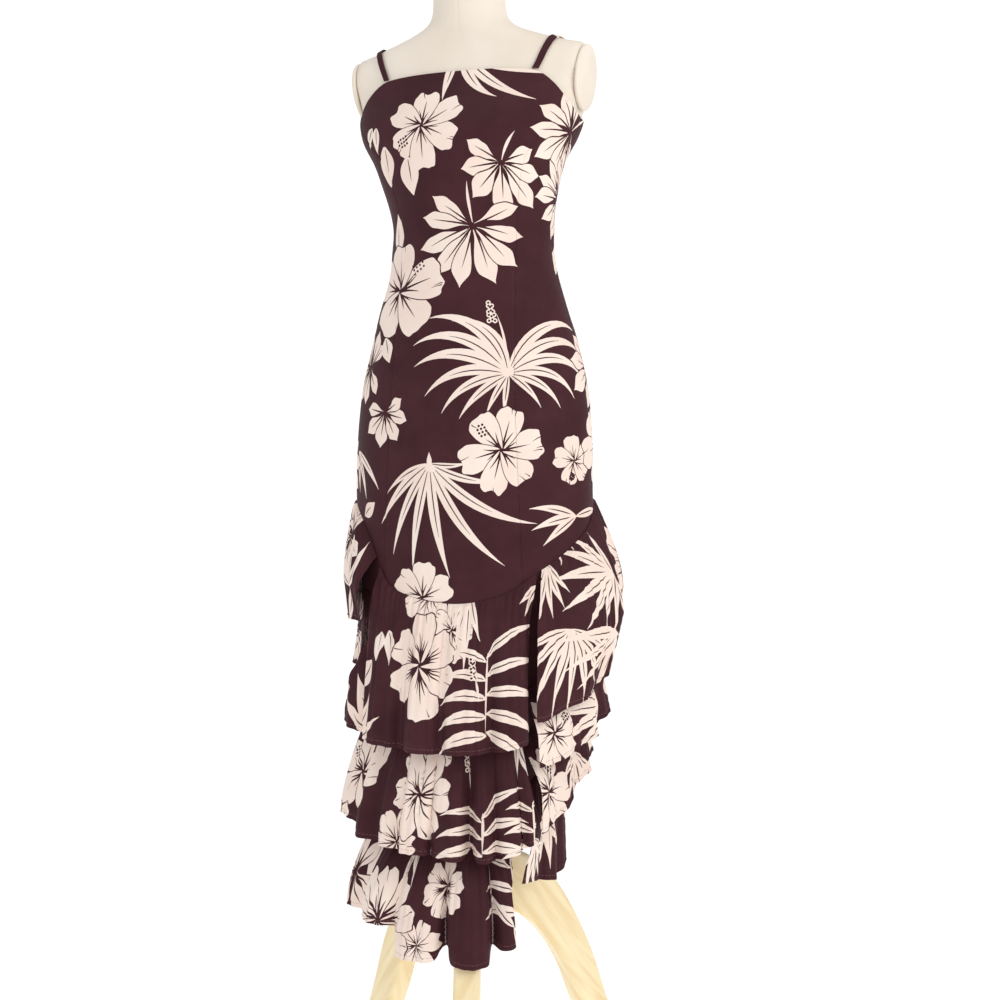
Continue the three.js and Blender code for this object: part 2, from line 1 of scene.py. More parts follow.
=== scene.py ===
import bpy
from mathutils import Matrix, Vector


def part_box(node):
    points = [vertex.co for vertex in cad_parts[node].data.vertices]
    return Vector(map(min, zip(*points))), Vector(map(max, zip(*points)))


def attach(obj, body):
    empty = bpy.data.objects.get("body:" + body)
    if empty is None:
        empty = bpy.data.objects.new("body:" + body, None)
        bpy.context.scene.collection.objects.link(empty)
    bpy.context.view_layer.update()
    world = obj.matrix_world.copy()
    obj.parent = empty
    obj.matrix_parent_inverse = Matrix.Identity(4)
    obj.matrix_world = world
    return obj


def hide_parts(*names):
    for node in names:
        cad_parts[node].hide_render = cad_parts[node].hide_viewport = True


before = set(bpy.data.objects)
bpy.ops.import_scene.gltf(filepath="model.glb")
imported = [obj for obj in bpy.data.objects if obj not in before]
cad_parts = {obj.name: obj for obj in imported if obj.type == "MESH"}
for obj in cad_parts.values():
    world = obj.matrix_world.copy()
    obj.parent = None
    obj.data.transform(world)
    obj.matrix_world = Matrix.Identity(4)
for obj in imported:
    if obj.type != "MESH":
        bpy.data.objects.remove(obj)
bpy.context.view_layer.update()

import math
import random
import bpy
import numpy as np
from mathutils import Matrix, Vector
from mathutils.geometry import delaunay_2d_cdt

print("stage: frame loaded,", len(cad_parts), "nodes")
bpy.ops.object.select_all(action="DESELECT")

# The form's pole is the axis of everything. Tables are in millimetres round it:
# angle 0 is centre front, 90 the wearer's left side, 180 centre back.
poleLow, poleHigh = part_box("stand_pole")
axisX = (poleLow[0] + poleHigh[0]) / 2
axisY = (poleLow[1] + poleHigh[1]) / 2
metre = 0.001

# camera and lights: azimuths in degrees, lengths in millimetres
view = {"azimuth": 19, "away": 2400, "height": 836, "lens": 60.48, "shiftX": 0.027,
        "shiftY": -0.010}


def roundAxis(azimuth, away, height):
    # a place round the pole: azimuth 0 is straight in front, 90 at the wearer's left
    turn = math.radians(azimuth)
    return Vector((axisX + away * metre * math.sin(turn), axisY - away * metre * math.cos(turn),
                   height * metre))


def inScene(name, data):
    made = bpy.data.objects.new(name, data)
    bpy.context.scene.collection.objects.link(made)
    return made


cameraData = bpy.data.cameras.new("camera")
camera = inScene("camera", cameraData)
camera.location = roundAxis(view["azimuth"], view["away"], view["height"])
camera.rotation_euler = (math.radians(90), 0, math.radians(view["azimuth"]))
cameraData.lens = view["lens"]
cameraData.sensor_width = 36
cameraData.shift_x = view["shiftX"]
cameraData.shift_y = view["shiftY"]
bpy.context.scene.camera = camera


def toLinear(code):
    # sRGB hex to the linear colour a shader wants
    channels = [int(code[k:k + 2], 16) / 255 for k in (1, 3, 5)]
    return [c / 12.92 if c <= 0.04045 else ((c + 0.055) / 1.055) ** 2.4 for c in channels] + [1]


def softLight(name, azimuth, away, height, size, watts, colour, aim=800):
    data = bpy.data.lights.new(name, "AREA")
    data.shape = "RECTANGLE"
    data.size = size[0]
    data.size_y = size[1]
    data.energy = watts
    data.color = toLinear(colour)[:3]
    light = inScene(name, data)
    light.location = roundAxis(azimuth, away, height)
    toward = Vector((axisX, axisY, aim * metre)) - light.location
    light.rotation_euler = toward.to_track_quat("-Z", "Y").to_euler()


softLight("keyLight", 66, 2600, 1900, (1.4, 1.8), 24, "#fffaf4")
softLight("fillLight", -30, 3200, 1500, (2.2, 2.2), 9, "#f8fbff")
softLight("topLight", 20, 900, 3000, (1.6, 1.6), 7, "#ffffff")

world = bpy.data.worlds.new("paleRoom")
bpy.context.scene.world = world
world.use_nodes = True
backdrop = world.node_tree.nodes["Background"]
backdrop.inputs["Color"].default_value = toLinear("#fbfbfc")
backdrop.inputs["Strength"].default_value = 0.59
bpy.context.scene.view_settings.view_transform = "Standard"
bpy.context.scene.view_settings.look = "None"


def column(rows, k=1):
    ordered = sorted(rows)
    return np.array([r[0] for r in ordered], float), np.array([r[k] for r in ordered], float)


def smoothAt(table, at):
    # a smooth value between rows, level beyond both ends
    keys, values = table
    at = np.clip(np.asarray(at, float), keys[0], keys[-1])
    slopes = np.zeros(len(keys))
    slopes[1:-1] = (values[2:] - values[:-2]) / (keys[2:] - keys[:-2])
    k = np.clip(np.searchsorted(keys, at, side="right") - 1, 0, len(keys) - 2)
    span = keys[k + 1] - keys[k]
    t = (at - keys[k]) / span
    return ((2 * t ** 3 - 3 * t ** 2 + 1) * values[k] + (t ** 3 - 2 * t ** 2 + t) * span * slopes[k]
            + (3 * t ** 2 - 2 * t ** 3) * values[k + 1] + (t ** 3 - t ** 2) * span * slopes[k + 1])


def mix(a, b, share):
    return a + (b - a) * share


def rise(x):
    # 0 below 0, 1 above 1, smooth between
    x = np.clip(x, 0, 1)
    return x * x * (3 - 2 * x)


def bell(x, width):
    # 1 at 0, fading to nothing a few widths away
    return np.exp(-(x / width) ** 2)


def runOf(points):
    # the way along a line of points to each of them
    return np.concatenate([[0], np.cumsum(np.linalg.norm(np.diff(points, axis=0), axis=1))])


# one row for each level of the dressed body: height, half width, depth before and
# behind the centre, the centre's place and the squareness of the section
bodyRows = [
    (1580, 55, 55, 55, -19, 2), (1535, 55, 55, 56, -17, 2), (1508, 58, 58, 61, -13, 2),
    (1494, 68, 60, 66, -9, 2), (1483, 88, 62, 71, -6, 2.1), (1474, 114, 63, 76, -3, 2.2),
    (1466, 139, 63, 79, -1, 2.3), (1457, 158, 63, 81, 0, 2.4), (1440, 169, 65, 85, 0, 2.5),
    (1415, 169, 69, 91, 0, 2.5), (1380, 166, 86, 95, -3, 2.4), (1355, 163, 98, 97, -8, 2.3),
    (1330, 155, 107, 97, -12, 2.2), (1300, 139, 103, 97, -14, 2.1), (1270, 129, 96, 94, -11, 2.1),
    (1225, 119, 90, 88, 0, 2), (1185, 118, 90, 90, 0, 2), (1140, 123, 95, 97, 1, 2),
    (1089, 138, 103, 109, 3, 2), (1040, 152, 107, 118, 5, 2), (985, 165, 110, 121, 4, 2),
    (922, 172, 112, 118, 3, 2), (860, 174, 112, 114, 2, 2), (770, 173, 113, 113, 2, 2),
    (680, 165, 114, 111, 2, 2), (520, 137, 110, 103, 0, 2), (400, 110, 100, 92, 0, 2),
    (300, 88, 90, 82, 0, 2),
]
halfOf = column(bodyRows)
frontOf = column(bodyRows, 2)
backOf = column(bodyRows, 3)
centreOf = column(bodyRows, 4)
squareOf = column(bodyRows, 5)

# the bodice's upper edge by the angle from centre front, either side
topEdge = column([(0, 1419), (24, 1417), (38, 1412), (50, 1397), (62, 1379), (76, 1362),
                  (90, 1354), (105, 1355), (125, 1366), (146, 1376), (180, 1378)])

# the shaped front seam: height, angle
princessSeam = column([(1400, 69), (1372, 67), (1345, 63), (1318, 55), (1290, 49), (1255, 47),
                       (1200, 47), (1129, 43), (1059, 37), (985, 33), (900, 33), (780, 35),
                       (660, 38)])

# the curved seam that carries the first flounces: angle, height
flounceSeam = column([(-180, 836), (-115, 834), (-85, 826), (-68, 812), (-57, 795), (-49, 773),
                      (-42, 743), (-34, 708), (-20, 690), (0, 681), (15, 684), (30, 697),
                      (44, 722), (56, 741), (72, 767), (90, 796), (110, 826), (140, 835),
                      (180, 836)])

# where the front flounces end: height, angle at the wearer's right and left
junctions = [(800, -41, 45), (722, -41, 45.5), (620, -52, 43.5), (514, -66, 43), (385, -70, 46),
             (300, -70, 39), (230, -70, 38), (190, -70, 37)]
junctionRight = column(junctions)
junctionLeft = column(junctions, 2)


def wrapped(angle):
    return np.where(angle > 180, angle - 360, angle)


def signedPower(value, power):
    return np.sign(value) * np.abs(value) ** power


def bodyPoint(angle, z, lift):
    s = np.sin(np.radians(angle))
    c = np.cos(np.radians(angle))
    power = 2 / smoothAt(squareOf, z)
    half = smoothAt(halfOf, z) + lift
    deep = np.where(c > 0, smoothAt(frontOf, z), smoothAt(backOf, z)) + lift
    y = smoothAt(centreOf, z) - deep * signedPower(c, power)
    return np.stack([half * signedPower(s, power), y, z + 0 * s], 1)


# lengths of cloth round the fitted body, for arcAt
arcAngles = np.arange(-180, 180.1, 1.5)
arcHeights = np.arange(640, 1441, 8.0)
arcTable = []
for level in arcHeights:
    ring = bodyPoint(arcAngles, np.full(len(arcAngles), level), 0)
    length = runOf(ring)
    arcTable.append(length - length[len(length) // 2])
arcTable = np.array(arcTable)


def arcAt(angle, z):
    # millimetres of cloth from centre front at this height
    row = np.clip((z - arcHeights[0]) / 8.0, 0, len(arcHeights) - 1.001)
    col = np.clip((angle + 180) / 1.5, 0, len(arcAngles) - 1.001)
    i, j = row.astype(int), col.astype(int)
    u, v = row - i, col - j
    return ((arcTable[i, j] * (1 - v) + arcTable[i, j + 1] * v) * (1 - u)
            + (arcTable[i + 1, j] * (1 - v) + arcTable[i + 1, j + 1] * v) * u)


def angleAt(arc, z):
    low = np.full(len(arc), -180.0)
    high = np.full(len(arc), 180.0)
    for step in range(22):
        middle = (low + high) / 2
        tooFar = arcAt(middle, z) > arc
        high = np.where(tooFar, middle, high)
        low = np.where(tooFar, low, middle)
    return (low + high) / 2


# the front strips; hem: angle, height; side and deep: how far the fullest part
# stands out to the side and to the front; folds: angle, width in degrees, depth
frontTiers = [
    {"hem": column([(-72, 514), (-50, 496), (-30, 486), (0, 480), (25, 484), (46, 497)]),
     "side": 182, "deep": 152,
     "folds": [(-60, 6, 6), (-48, 4, -13), (-34, 5, 6), (-20, 3.5, -11), (-9, 5, 7),
               (1, 2.5, -10), (11, 5, 5), (23, 3, -11), (33, 5, 8), (44, 3, -12)]},
    {"hem": column([(-72, 385), (-58, 376), (-44, 357), (-20, 347), (0, 343), (11, 340),
                    (15, 356), (18, 338), (36, 350), (48, 362)]),
     "side": 187, "deep": 157,
     "folds": [(-62, 6, 7), (-50, 4, -13), (-42, 4, 6), (-34, 3.5, -15), (-20, 3, -9),
               (-12, 5, 7), (-3, 2, -11), (6, 4, 6), (14.5, 3, -24), (20.5, 3, 8), (26, 2, -11),
               (32, 4, 6), (39, 2.2, -12), (45, 3, -8)]},
    {"hem": column([(-72, 259), (-54, 252), (-30, 243), (-24, 240), (-20, 212), (-8, 206),
                    (0, 207), (2.5, 222), (7, 222), (9, 205), (24, 204), (27, 226), (31, 222),
                    (40, 229)]),
     "side": 176, "deep": 166,
     "folds": [(-60, 6, 7), (-48, 4, -10), (-35, 6, 9), (-23, 2.6, -16), (-10, 9, 9),
               (4.5, 2.8, -20), (16, 8, 13), (28, 2.4, -21), (34, 4, 6)]},
]

# full and edge: how far the fullest part and the hem stand out on the left, at
# the back and on the right; meet: the oval where the left side meets the front
backTiers = [
    {"hem": column([(45, 524), (57, 538), (80, 565), (100, 602), (116, 625), (180, 640),
                    (250, 652), (290, 655), (310, 652), (322, 648)]),
     "full": {"left": 215, "back": 160, "right": 187},
     "edge": {"left": 193, "back": 152, "right": 178},
     "wave": 8, "meet": (182, 152)},
    {"hem": column([(45, 462), (57, 474), (80, 500), (100, 526), (116, 538), (180, 556),
                    (250, 578), (290, 588), (322, 560)]),
     "full": {"left": 186, "back": 143, "right": 168},
     "edge": {"left": 191, "back": 147, "right": 172},
     "wave": 8, "meet": (187, 155)},
    {"hem": column([(45, 372), (57, 388), (70, 412), (85, 443), (100, 458), (116, 476),
                    (180, 486), (250, 492), (290, 490), (322, 470)]),
     "full": {"left": 164, "back": 130, "right": 149},
     "edge": {"left": 170, "back": 134, "right": 154},
     "wave": 7, "meet": (182, 150)},
    {"hem": column([(42, 306), (57, 302), (72, 297), (88, 300), (102, 334), (116, 374),
                    (180, 392), (250, 396), (290, 388), (322, 372)]),
     "full": {"left": 132, "back": 116, "right": 134},
     "edge": {"left": 132, "back": 119, "right": 138},
     "wave": 6, "meet": (168, 150)},
]
cloth = {"thick": 1.0, "layer": 0.8, "overlap": 38, "junction": 3, "frontFullness": 1.25,
         "backFullness": 1.35, "bulge": 0.62, "belowSeam": 30, "hem": 6.0, "foldPower": 2.6,
         "meetWide": 11}
underLift = -1.2 - cloth["layer"]


def seamAt(angle):
    return smoothAt(flounceSeam, wrapped(angle))


def tierTop(tiers, index, angle):
    if index == 0:
        return seamAt(angle) - 0.3
    above = smoothAt(tiers[index - 1]["hem"], angle)
    return np.minimum(above + cloth["overlap"], seamAt(angle) - cloth["belowSeam"])


# pitches of the tucks and soft folds along the seam, and how the tucks wander:
# (strength, length), all in millimetres of cloth
gather = {"fine": 11.5, "finer": 19.4, "soft": 33, "softer": 21.5,
          "wander": ((2.8, 31), (1.7, 17), (0.8, 7.9)), "uneven": 19, "softDepth": 1.15}


def gathers(s, below, seed):
    # fine tucks fan out from the seam, softer folds carry on down to the hem
    wander = sum(a * np.sin(s / run + k * seed) for k, (a, run) in enumerate(gather["wander"], 1))
    uneven = 0.5 + 0.5 * np.sin(s / gather["uneven"] + 0.7 * wander + seed)
    fine = 0.5 + 0.5 * np.sin(2 * np.pi * s / gather["fine"] + 1.3 * wander)
    finer = 0.5 + 0.5 * np.sin(2 * np.pi * s / gather["finer"] - 1.6 * wander + seed)
    tuck = ((0.8 + 1.9 * uneven) * fine + (3.0 - 1.6 * uneven) * finer) * rise(below / 5)
    tuck = tuck * np.exp(-below / (26 + 34 * uneven))
    soft = np.sin(2 * np.pi * s / gather["soft"] + 0.8 * wander + seed)
    soft = soft + 0.7 * np.sin(2 * np.pi * s / gather["softer"] - wander)
    return tuck + gather["softDepth"] * soft * rise(below / 50) * (0.55 + 0.45 * rise(below / 160))


def makeStrip(kind, index, side=None):
    # everything one strip needs: its edges, its flat coordinates and its surface
    tiers = frontTiers if kind == "front" else backTiers
    tier = tiers[index]
    fullness = cloth["frontFullness"] if kind == "front" else cloth["backFullness"]
    reach = tier["side"] if kind == "front" else tier["full"][side]
    depth = tier["deep"] if kind == "front" else tier["full"]["back"]
    angles = np.arange(-186, 186.1, 1.0)
    ring = np.stack([reach * np.sin(np.radians(angles)), depth * np.cos(np.radians(angles))], 1)
    length = runOf(ring) * fullness
    length -= length[len(length) // 2]
    seed = 1.7 * index + (0 if kind == "front" else 3.1) + (0 if side != "right" else 1.3)
    # outer faces: the wall goes inward from them and stays clear of the underskirt
    nearest = underLift + cloth["layer"] / 2 + cloth["thick"]
    base = cloth["layer"] if index == 0 else nearest
    turn = 360 if side == "right" else 0
    phase = 9 * index

    def angleOf(s):
        return np.interp(s, length, angles) + turn

    def flatOf(angle):
        return np.interp(angle - turn, angles, length)

    def place(across, down):
        angle = np.full(len(across), 180.0 if kind == "back" else 0.0)
        z = np.full(len(across), 500.0)
        for step in range(10):
            if kind == "front":
                first = smoothAt(junctionRight, z) + cloth["junction"] / 2
                last = smoothAt(junctionLeft, z) - cloth["junction"] / 2
            elif side == "left":
                first = smoothAt(junctionLeft, z) + cloth["junction"] / 2
                last = np.full(len(z), 179.93)
            else:
                first = np.full(len(z), 180.07)
                last = 360 + smoothAt(junctionRight, z) - cloth["junction"] / 2
            angle = mix(first, last, across)
            z = mix(tierTop(tiers, index, angle), smoothAt(tier["hem"], angle), down)
        return flatOf(angle), z

    def shape(s, z):
        angle = angleOf(s)
        top = tierTop(tiers, index, angle)
        low = smoothAt(tier["hem"], angle)
        down = np.clip((top - z) / (top - low), 0, 1)
        below = np.clip(top - z, 0, None)
        above = np.clip(z - low, 0, None)
        if kind == "front":
            folds = sum(d * np.exp(-np.abs((angle - a) / w) ** cloth["foldPower"])
                        for a, w, d in tier["folds"])
            lift = folds * down ** 0.8
            share = np.sin(down * np.pi / 2) ** 0.9
            half, deep = tier["side"], tier["deep"]
        else:
            wave = tier["wave"] * np.sin(2 * np.pi * (angle - phase) / 21)
            lift = wave * (0.7 + 0.3 * np.sin(2 * np.pi * (angle + phase) / 83)) * down ** 1.4
            bulge = cloth["bulge"]
            share = np.sin(np.minimum(1, down / bulge) * np.pi / 2)
            tuck = np.clip((down - bulge) / (1 - bulge), 0, 1)
            half = mix(tier["full"][side], tier["edge"][side], tuck)
            deep = mix(tier["full"]["back"], tier["edge"]["back"], tuck)
            if side == "left":
                junction = smoothAt(junctionLeft, z) + cloth["junction"] / 2
                near = bell(angle - junction, cloth["meetWide"])
                half = mix(half, tier["meet"][0], near)
                deep = mix(deep, tier["meet"][1], near)
        stitched = -0.5 * bell(above - cloth["hem"], 0.9) + 0.3 * rise(1 - above / cloth["hem"])
        lift = lift + base + gathers(s, below, seed) + stitched
        if index == 0:
            lift = lift - 0.9 * rise(1 - below / 2.5)
        s1, c1 = np.sin(np.radians(angle)), np.cos(np.radians(angle))
        wide = mix(smoothAt(halfOf, z), half, share) + lift
        body = np.where(c1 > 0, smoothAt(frontOf, z), smoothAt(backOf, z))
        far = mix(body, deep, share) + lift
        wide = np.maximum(wide, smoothAt(halfOf, z) + nearest)
        far = np.maximum(far, body + nearest - np.sign(c1) * smoothAt(centreOf, z) * share)
        return np.stack([wide * s1, smoothAt(centreOf, z) * (1 - share) - far * c1, z], 1), lift

    def surface(s, z):
        # ridges round out and valleys close up, as full cloth does
        step = 1.5
        points, lift = shape(s, z)
        ahead, liftAhead = shape(s + step, z)
        behind, liftBehind = shape(s - step, z)
        along = ahead - behind
        along[:, 2] = 0
        along /= np.linalg.norm(along, axis=1)[:, None] + 1e-9
        slope = np.clip((liftAhead - liftBehind) / (2 * step), -1.2, 1.2)
        low = smoothAt(tier["hem"], angleOf(s))
        top = tierTop(tiers, index, angleOf(s))
        down = np.clip((top - z) / (top - low), 0, 1)
        shift = 3.4 * slope * rise(down * 2.5)
        if kind == "back":
            # the two halves don't cross the seam at centre back
            shift = shift * rise(np.abs(angleOf(s) - 180) / 6)
        return points - along * shift[:, None]

    return {"place": place, "surface": surface, "angleOf": angleOf, "tier": tier}



# A motif is a list of outlines in millimetres with 1 for printed and 0 for the
# ground colour showing through; later outlines lie on earlier ones.


def turned(outline, degrees, x=0.0, y=0.0):
    c, s = math.cos(math.radians(degrees)), math.sin(math.radians(degrees))
    p = np.asarray(outline, float)
    return np.stack([x + c * p[:, 0] - s * p[:, 1], y + s * p[:, 0] + c * p[:, 1]], 1)


def dot(x, y, radius, ink, sides=9):
    t = np.arange(sides) * 2 * np.pi / sides
    return np.stack([x + radius * np.cos(t), y + radius * np.sin(t)], 1), ink


def petal(length, width, ruffle, start):
    # a broad rounded petal, narrow only near the centre, with a wavy rim
    t = np.linspace(0, 2 * np.pi, 56, endpoint=False)
    along = 0.5 - 0.5 * np.cos(t)
    wide = width * np.sign(np.sin(t)) * np.abs(np.sin(t)) ** 0.72 * (0.22 + 0.78 * along ** 0.55)
    swell = 1 + ruffle * along ** 2 * (np.sin(7 * t + start) + 0.6 * np.sin(11 * t + 2 * start))
    notch = 1 - 0.06 * bell(t - np.pi, 0.16)
    return np.stack([length * along ** 0.85 * swell * notch, wide * swell], 1)


def streak(start, end, width, bend):
    # a thin wedge along the x axis that ends in a point
    t = np.linspace(0, 1, 9)
    x = mix(start, end, t)
    y = bend * (t ** 2) * (end - start)
    half = width / 2 * (1 - t) ** 0.7 + 0.05
    upper = np.stack([x, y + half], 1)
    lower = np.stack([x, y - half], 1)[:-1]
    return np.concatenate([upper, lower[::-1]])


def hibiscus(radius, petals=5, turn=0, stamen=None, seed=1, veins=3):
    # broad petals laid over each other round the centre, each with a dark rim line
    draw = random.Random(seed)
    shapes = []
    for k in range(petals + 1):
        angle = turn + 360 * (k % petals) / petals + (draw.uniform(-5, 5) if k < petals else 0)
        if k == petals:
            angle = firstAngle
            length, width, start = firstSize
        else:
            length = radius * draw.uniform(0.92, 1.08)
            width = radius * draw.uniform(0.48, 0.54) * 5 / petals
            start = draw.uniform(0, 6)
        if k == 0:
            firstAngle, firstSize = angle, (length, width, start)
        outline = petal(length, width, 0.022, start)
        # the last one shows only its first half, so that each petal covers the next
        if k == petals:
            outline = outline[outline[:, 1] < 0.02 * radius]
        rim = max(1.3, 0.032 * radius)
        centre = np.array([length * 0.55, 0])
        spread = outline + (outline - centre) * (rim / (0.55 * radius))
        shapes.append((turned(spread, angle), 0))
        shapes.append((turned(outline, angle), 1))
        for j in range(veins):
            off = (j - (veins - 1) / 2) / max(1, veins - 1) * (-1 if k == petals else 1)
            if k == petals and off > 0:
                continue
            reach = length * (0.74 - 0.5 * abs(off)) * draw.uniform(0.8, 1.05)
            vein = streak(radius * 0.03, reach, radius * 0.055, off * 0.3)
            shapes.append((turned(vein, angle + off * 22), 0))
        for j in range(2):
            if draw.random() < 0.55:
                edge = streak(0, length * draw.uniform(0.16, 0.30), 1.5, 0.2)
                high = draw.uniform(-0.5, 0.5)
                out = length * (1.0 - 0.35 * high * high)
                edge = turned(edge, 180 + 30 * high, out, high * width)
                shapes.append((turned(edge, angle), 0))
    shapes.append(dot(0, 0, radius * 0.045, 0, 12))
    if stamen is not None:
        stalk = streak(0, radius * 0.60, radius * 0.05, 0.12)
        shapes.append((turned(stalk, stamen), 0))
        for k in range(11):
            x = radius * (0.50 + 0.085 * (k % 4) + 0.02 * (k // 4))
            y = radius * (0.12 + 0.085 * (k // 4 - 1)) + 0.6 * (k % 2)
            shapes.append(dot(*turned([[x, y]], stamen)[0], 1.8, 0, 7))
    return shapes


def bladePath(x, y, angle, length, bend, steps=15):
    headings = angle + bend * (np.linspace(0, 1, steps) ** 1.3)
    step = length / (steps - 1)
    dx = np.concatenate([[0], np.cumsum(np.cos(np.radians(headings[:-1])) * step)])
    dy = np.concatenate([[0], np.cumsum(np.sin(np.radians(headings[:-1])) * step)])
    across = np.stack([-np.sin(np.radians(headings)), np.cos(np.radians(headings))], 1)
    return np.stack([x + dx, y + dy], 1), across


def blade(x, y, angle, length, width, bend=0, slit=True, fullest=0.42):
    # one leaf: a curved spine, a width that swells, narrows to a thin tail and
    # runs out to a point
    spine, across = bladePath(x, y, angle, length, bend)
    t = np.linspace(0, 1, len(spine))
    power = math.log(0.5) / math.log(fullest)
    swell = np.sin(np.pi * t ** power) ** 1.1 * (1 - 0.35 * t) * 1.15
    half = width / 2 * (swell + 0.09 * (1 - t) + 0.05)
    half[-1] = 0.2
    aside = across * half[:, None]
    outline = np.concatenate([spine + aside, (spine - aside)[::-1]])
    shapes = [(outline, 1)]
    if slit:
        first, last = 1, int(0.72 * len(spine))
        u = np.linspace(0, 1, last - first)
        thin = 0.85 * np.sin(np.pi * (0.10 + 0.88 * u)) ** 0.6
        middle = spine[first:last] + across[first:last] * (0.12 * half[first:last])[:, None]
        cut = np.concatenate([middle + across[first:last] * thin[:, None],
                              (middle - across[first:last] * thin[:, None])[::-1]])
        shapes.append((cut, 0))
    return shapes


def spray(leaves, slim=0.68):
    # several blades from one place: (angle, length, width, bend)
    shapes = []
    for angle, length, width, bend in leaves:
        shapes += blade(0, 0, angle, length, width * slim, bend)
    return shapes


def lobe(length, width, wave, start):
    # an oblong leaf lobe on the x axis: a thin neck, fullest near its middle,
    # a wavy rim and a small pointed tip
    t = np.linspace(0, 1, 22)
    swell = 0.13 + 0.87 * rise((t - 0.14) / 0.46)
    half = width / 2 * swell * (1 - rise((t - 0.72) / 0.28)) ** 0.8
    half = half * (1 + wave * np.sin(13 * t + start)) + 0.2
    bow = 0.05 * length * np.sin(start) * np.sin(np.pi * t)
    x = length * t
    upper, lower = np.stack([x, bow + half], 1), np.stack([x, bow - half], 1)
    return np.concatenate([upper, lower[::-1][1:]])


def palm(radius, lobes=8, first=130, last=400, stem=80, seed=1):
    draw = random.Random(seed)
    shapes = []
    if stem is not None:
        shapes += blade(0, 0, stem, radius * 0.72, 4.2, -24, slit=False, fullest=0.6)
    ribs = []
    step = abs(last - first) / (lobes - 1)
    for k in range(lobes):
        angle = mix(first, last, k / (lobes - 1)) + draw.uniform(-3, 3)
        longer = 0.84 + 0.24 * math.sin(math.pi * k / (lobes - 1))
        length = radius * longer * draw.uniform(0.92, 1.06)
        width = length * 2 * math.tan(math.radians(min(step, 44) / 2)) * 0.56
        start = draw.uniform(0, 6)
        outline = lobe(length, width, 0.06, start)
        rim = outline + np.sign(outline - np.array([length * 0.55, 0])) * 1.2
        shapes.append((turned(rim, angle), 0))
        shapes.append((turned(outline, angle), 1))
        rib = streak(radius * 0.02, length * draw.uniform(0.66, 0.84), 3.2, 0.05 * math.sin(start))
        ribs.append((turned(rib, angle), 0))
    return shapes + ribs + [dot(0, 0, radius * 0.035, 0, 10)]


def spike(length):
    # a stalk with a cluster of berries at its end
    shapes = blade(0, 0, 95, length * 0.72, 3.4, 18, slit=False, fullest=0.6)
    berries = []
    for k in range(13):
        x = -length * 0.20 + 4.3 * ((k % 3) - 1) * (1 - 0.05 * k) - 1.1 * (k // 3)
        y = length * 0.62 + 6.2 * (k // 3) + 1.8 * (k % 2)
        shapes.append(dot(x, y, 3.5, 1))
        berries.append(dot(x, y, 1.7, 0, 7))
    return shapes + berries


def tuft(size=1.0):
    # long arching blades on both sides, short ones below
    leaves = [(112, 152, 24, 84), (129, 160, 22, 86), (99, 122, 18, 96), (147, 146, 23, 70),
              (166, 130, 20, 70), (186, 112, 17, 60), (208, 92, 15, 36), (236, 64, 12, 16),
              (262, 58, 11, 8), (70, 152, 22, -104), (53, 144, 21, -98), (34, 134, 20, -90),
              (14, 114, 17, -80), (-8, 92, 15, -58), (-32, 66, 12, -32)]
    grown = [(a, length * size, w * size, b) for a, length, w, b in leaves]
    return spray(grown) + spike(118 * size)


def fan(size=1.0):
    # a hand of long blades that hang down and turn up at their tips
    leaves = [(196, 84, 13, 34), (212, 118, 18, 34), (234, 140, 17, 26), (254, 152, 18, 16),
              (274, 160, 20, 18), (294, 178, 21, 34), (314, 176, 20, 44), (332, 112, 14, 40),
              (350, 60, 10, 30)]
    stalk = blade(0, -4, 92, 20 * size, 7 * size, 0, slit=False)
    return spray([(a, length * size, w * size, b) for a, length, w, b in leaves]) + stalk


def bud(size=1.0, turn=270):
    halves = blade(-5 * size, 0, 250, 34 * size, 15 * size, 20)
    halves += blade(5 * size, 2, 285, 40 * size, 17 * size, -16)
    return [(turned(outline, turn - 270), ink) for outline, ink in halves]


def leaflet(size=1.0, turn=270):
    return blade(0, 0, turn, 48 * size, 29 * size, 10, fullest=0.48)


def frond(height=110, left=78, right=98, count=5, width=20):
    # a hanging stem with long arching blades in steps on both sides
    shapes = []
    for k in range(count):
        y = -height * k / max(1, count - 1)
        grow = 0.75 + 0.35 * k / max(1, count - 1)
        shapes += blade(0, y, 152 + 6 * k, left * (0.85 + 0.2 * k / count), width * grow, 58)
        shapes += blade(0, y + 5, 46 - 15 * k, right * (1 - 0.04 * k), width * grow, -54)
    return shapes + blade(2, 12, 268, height + 12, 3.4, 0, slit=False)


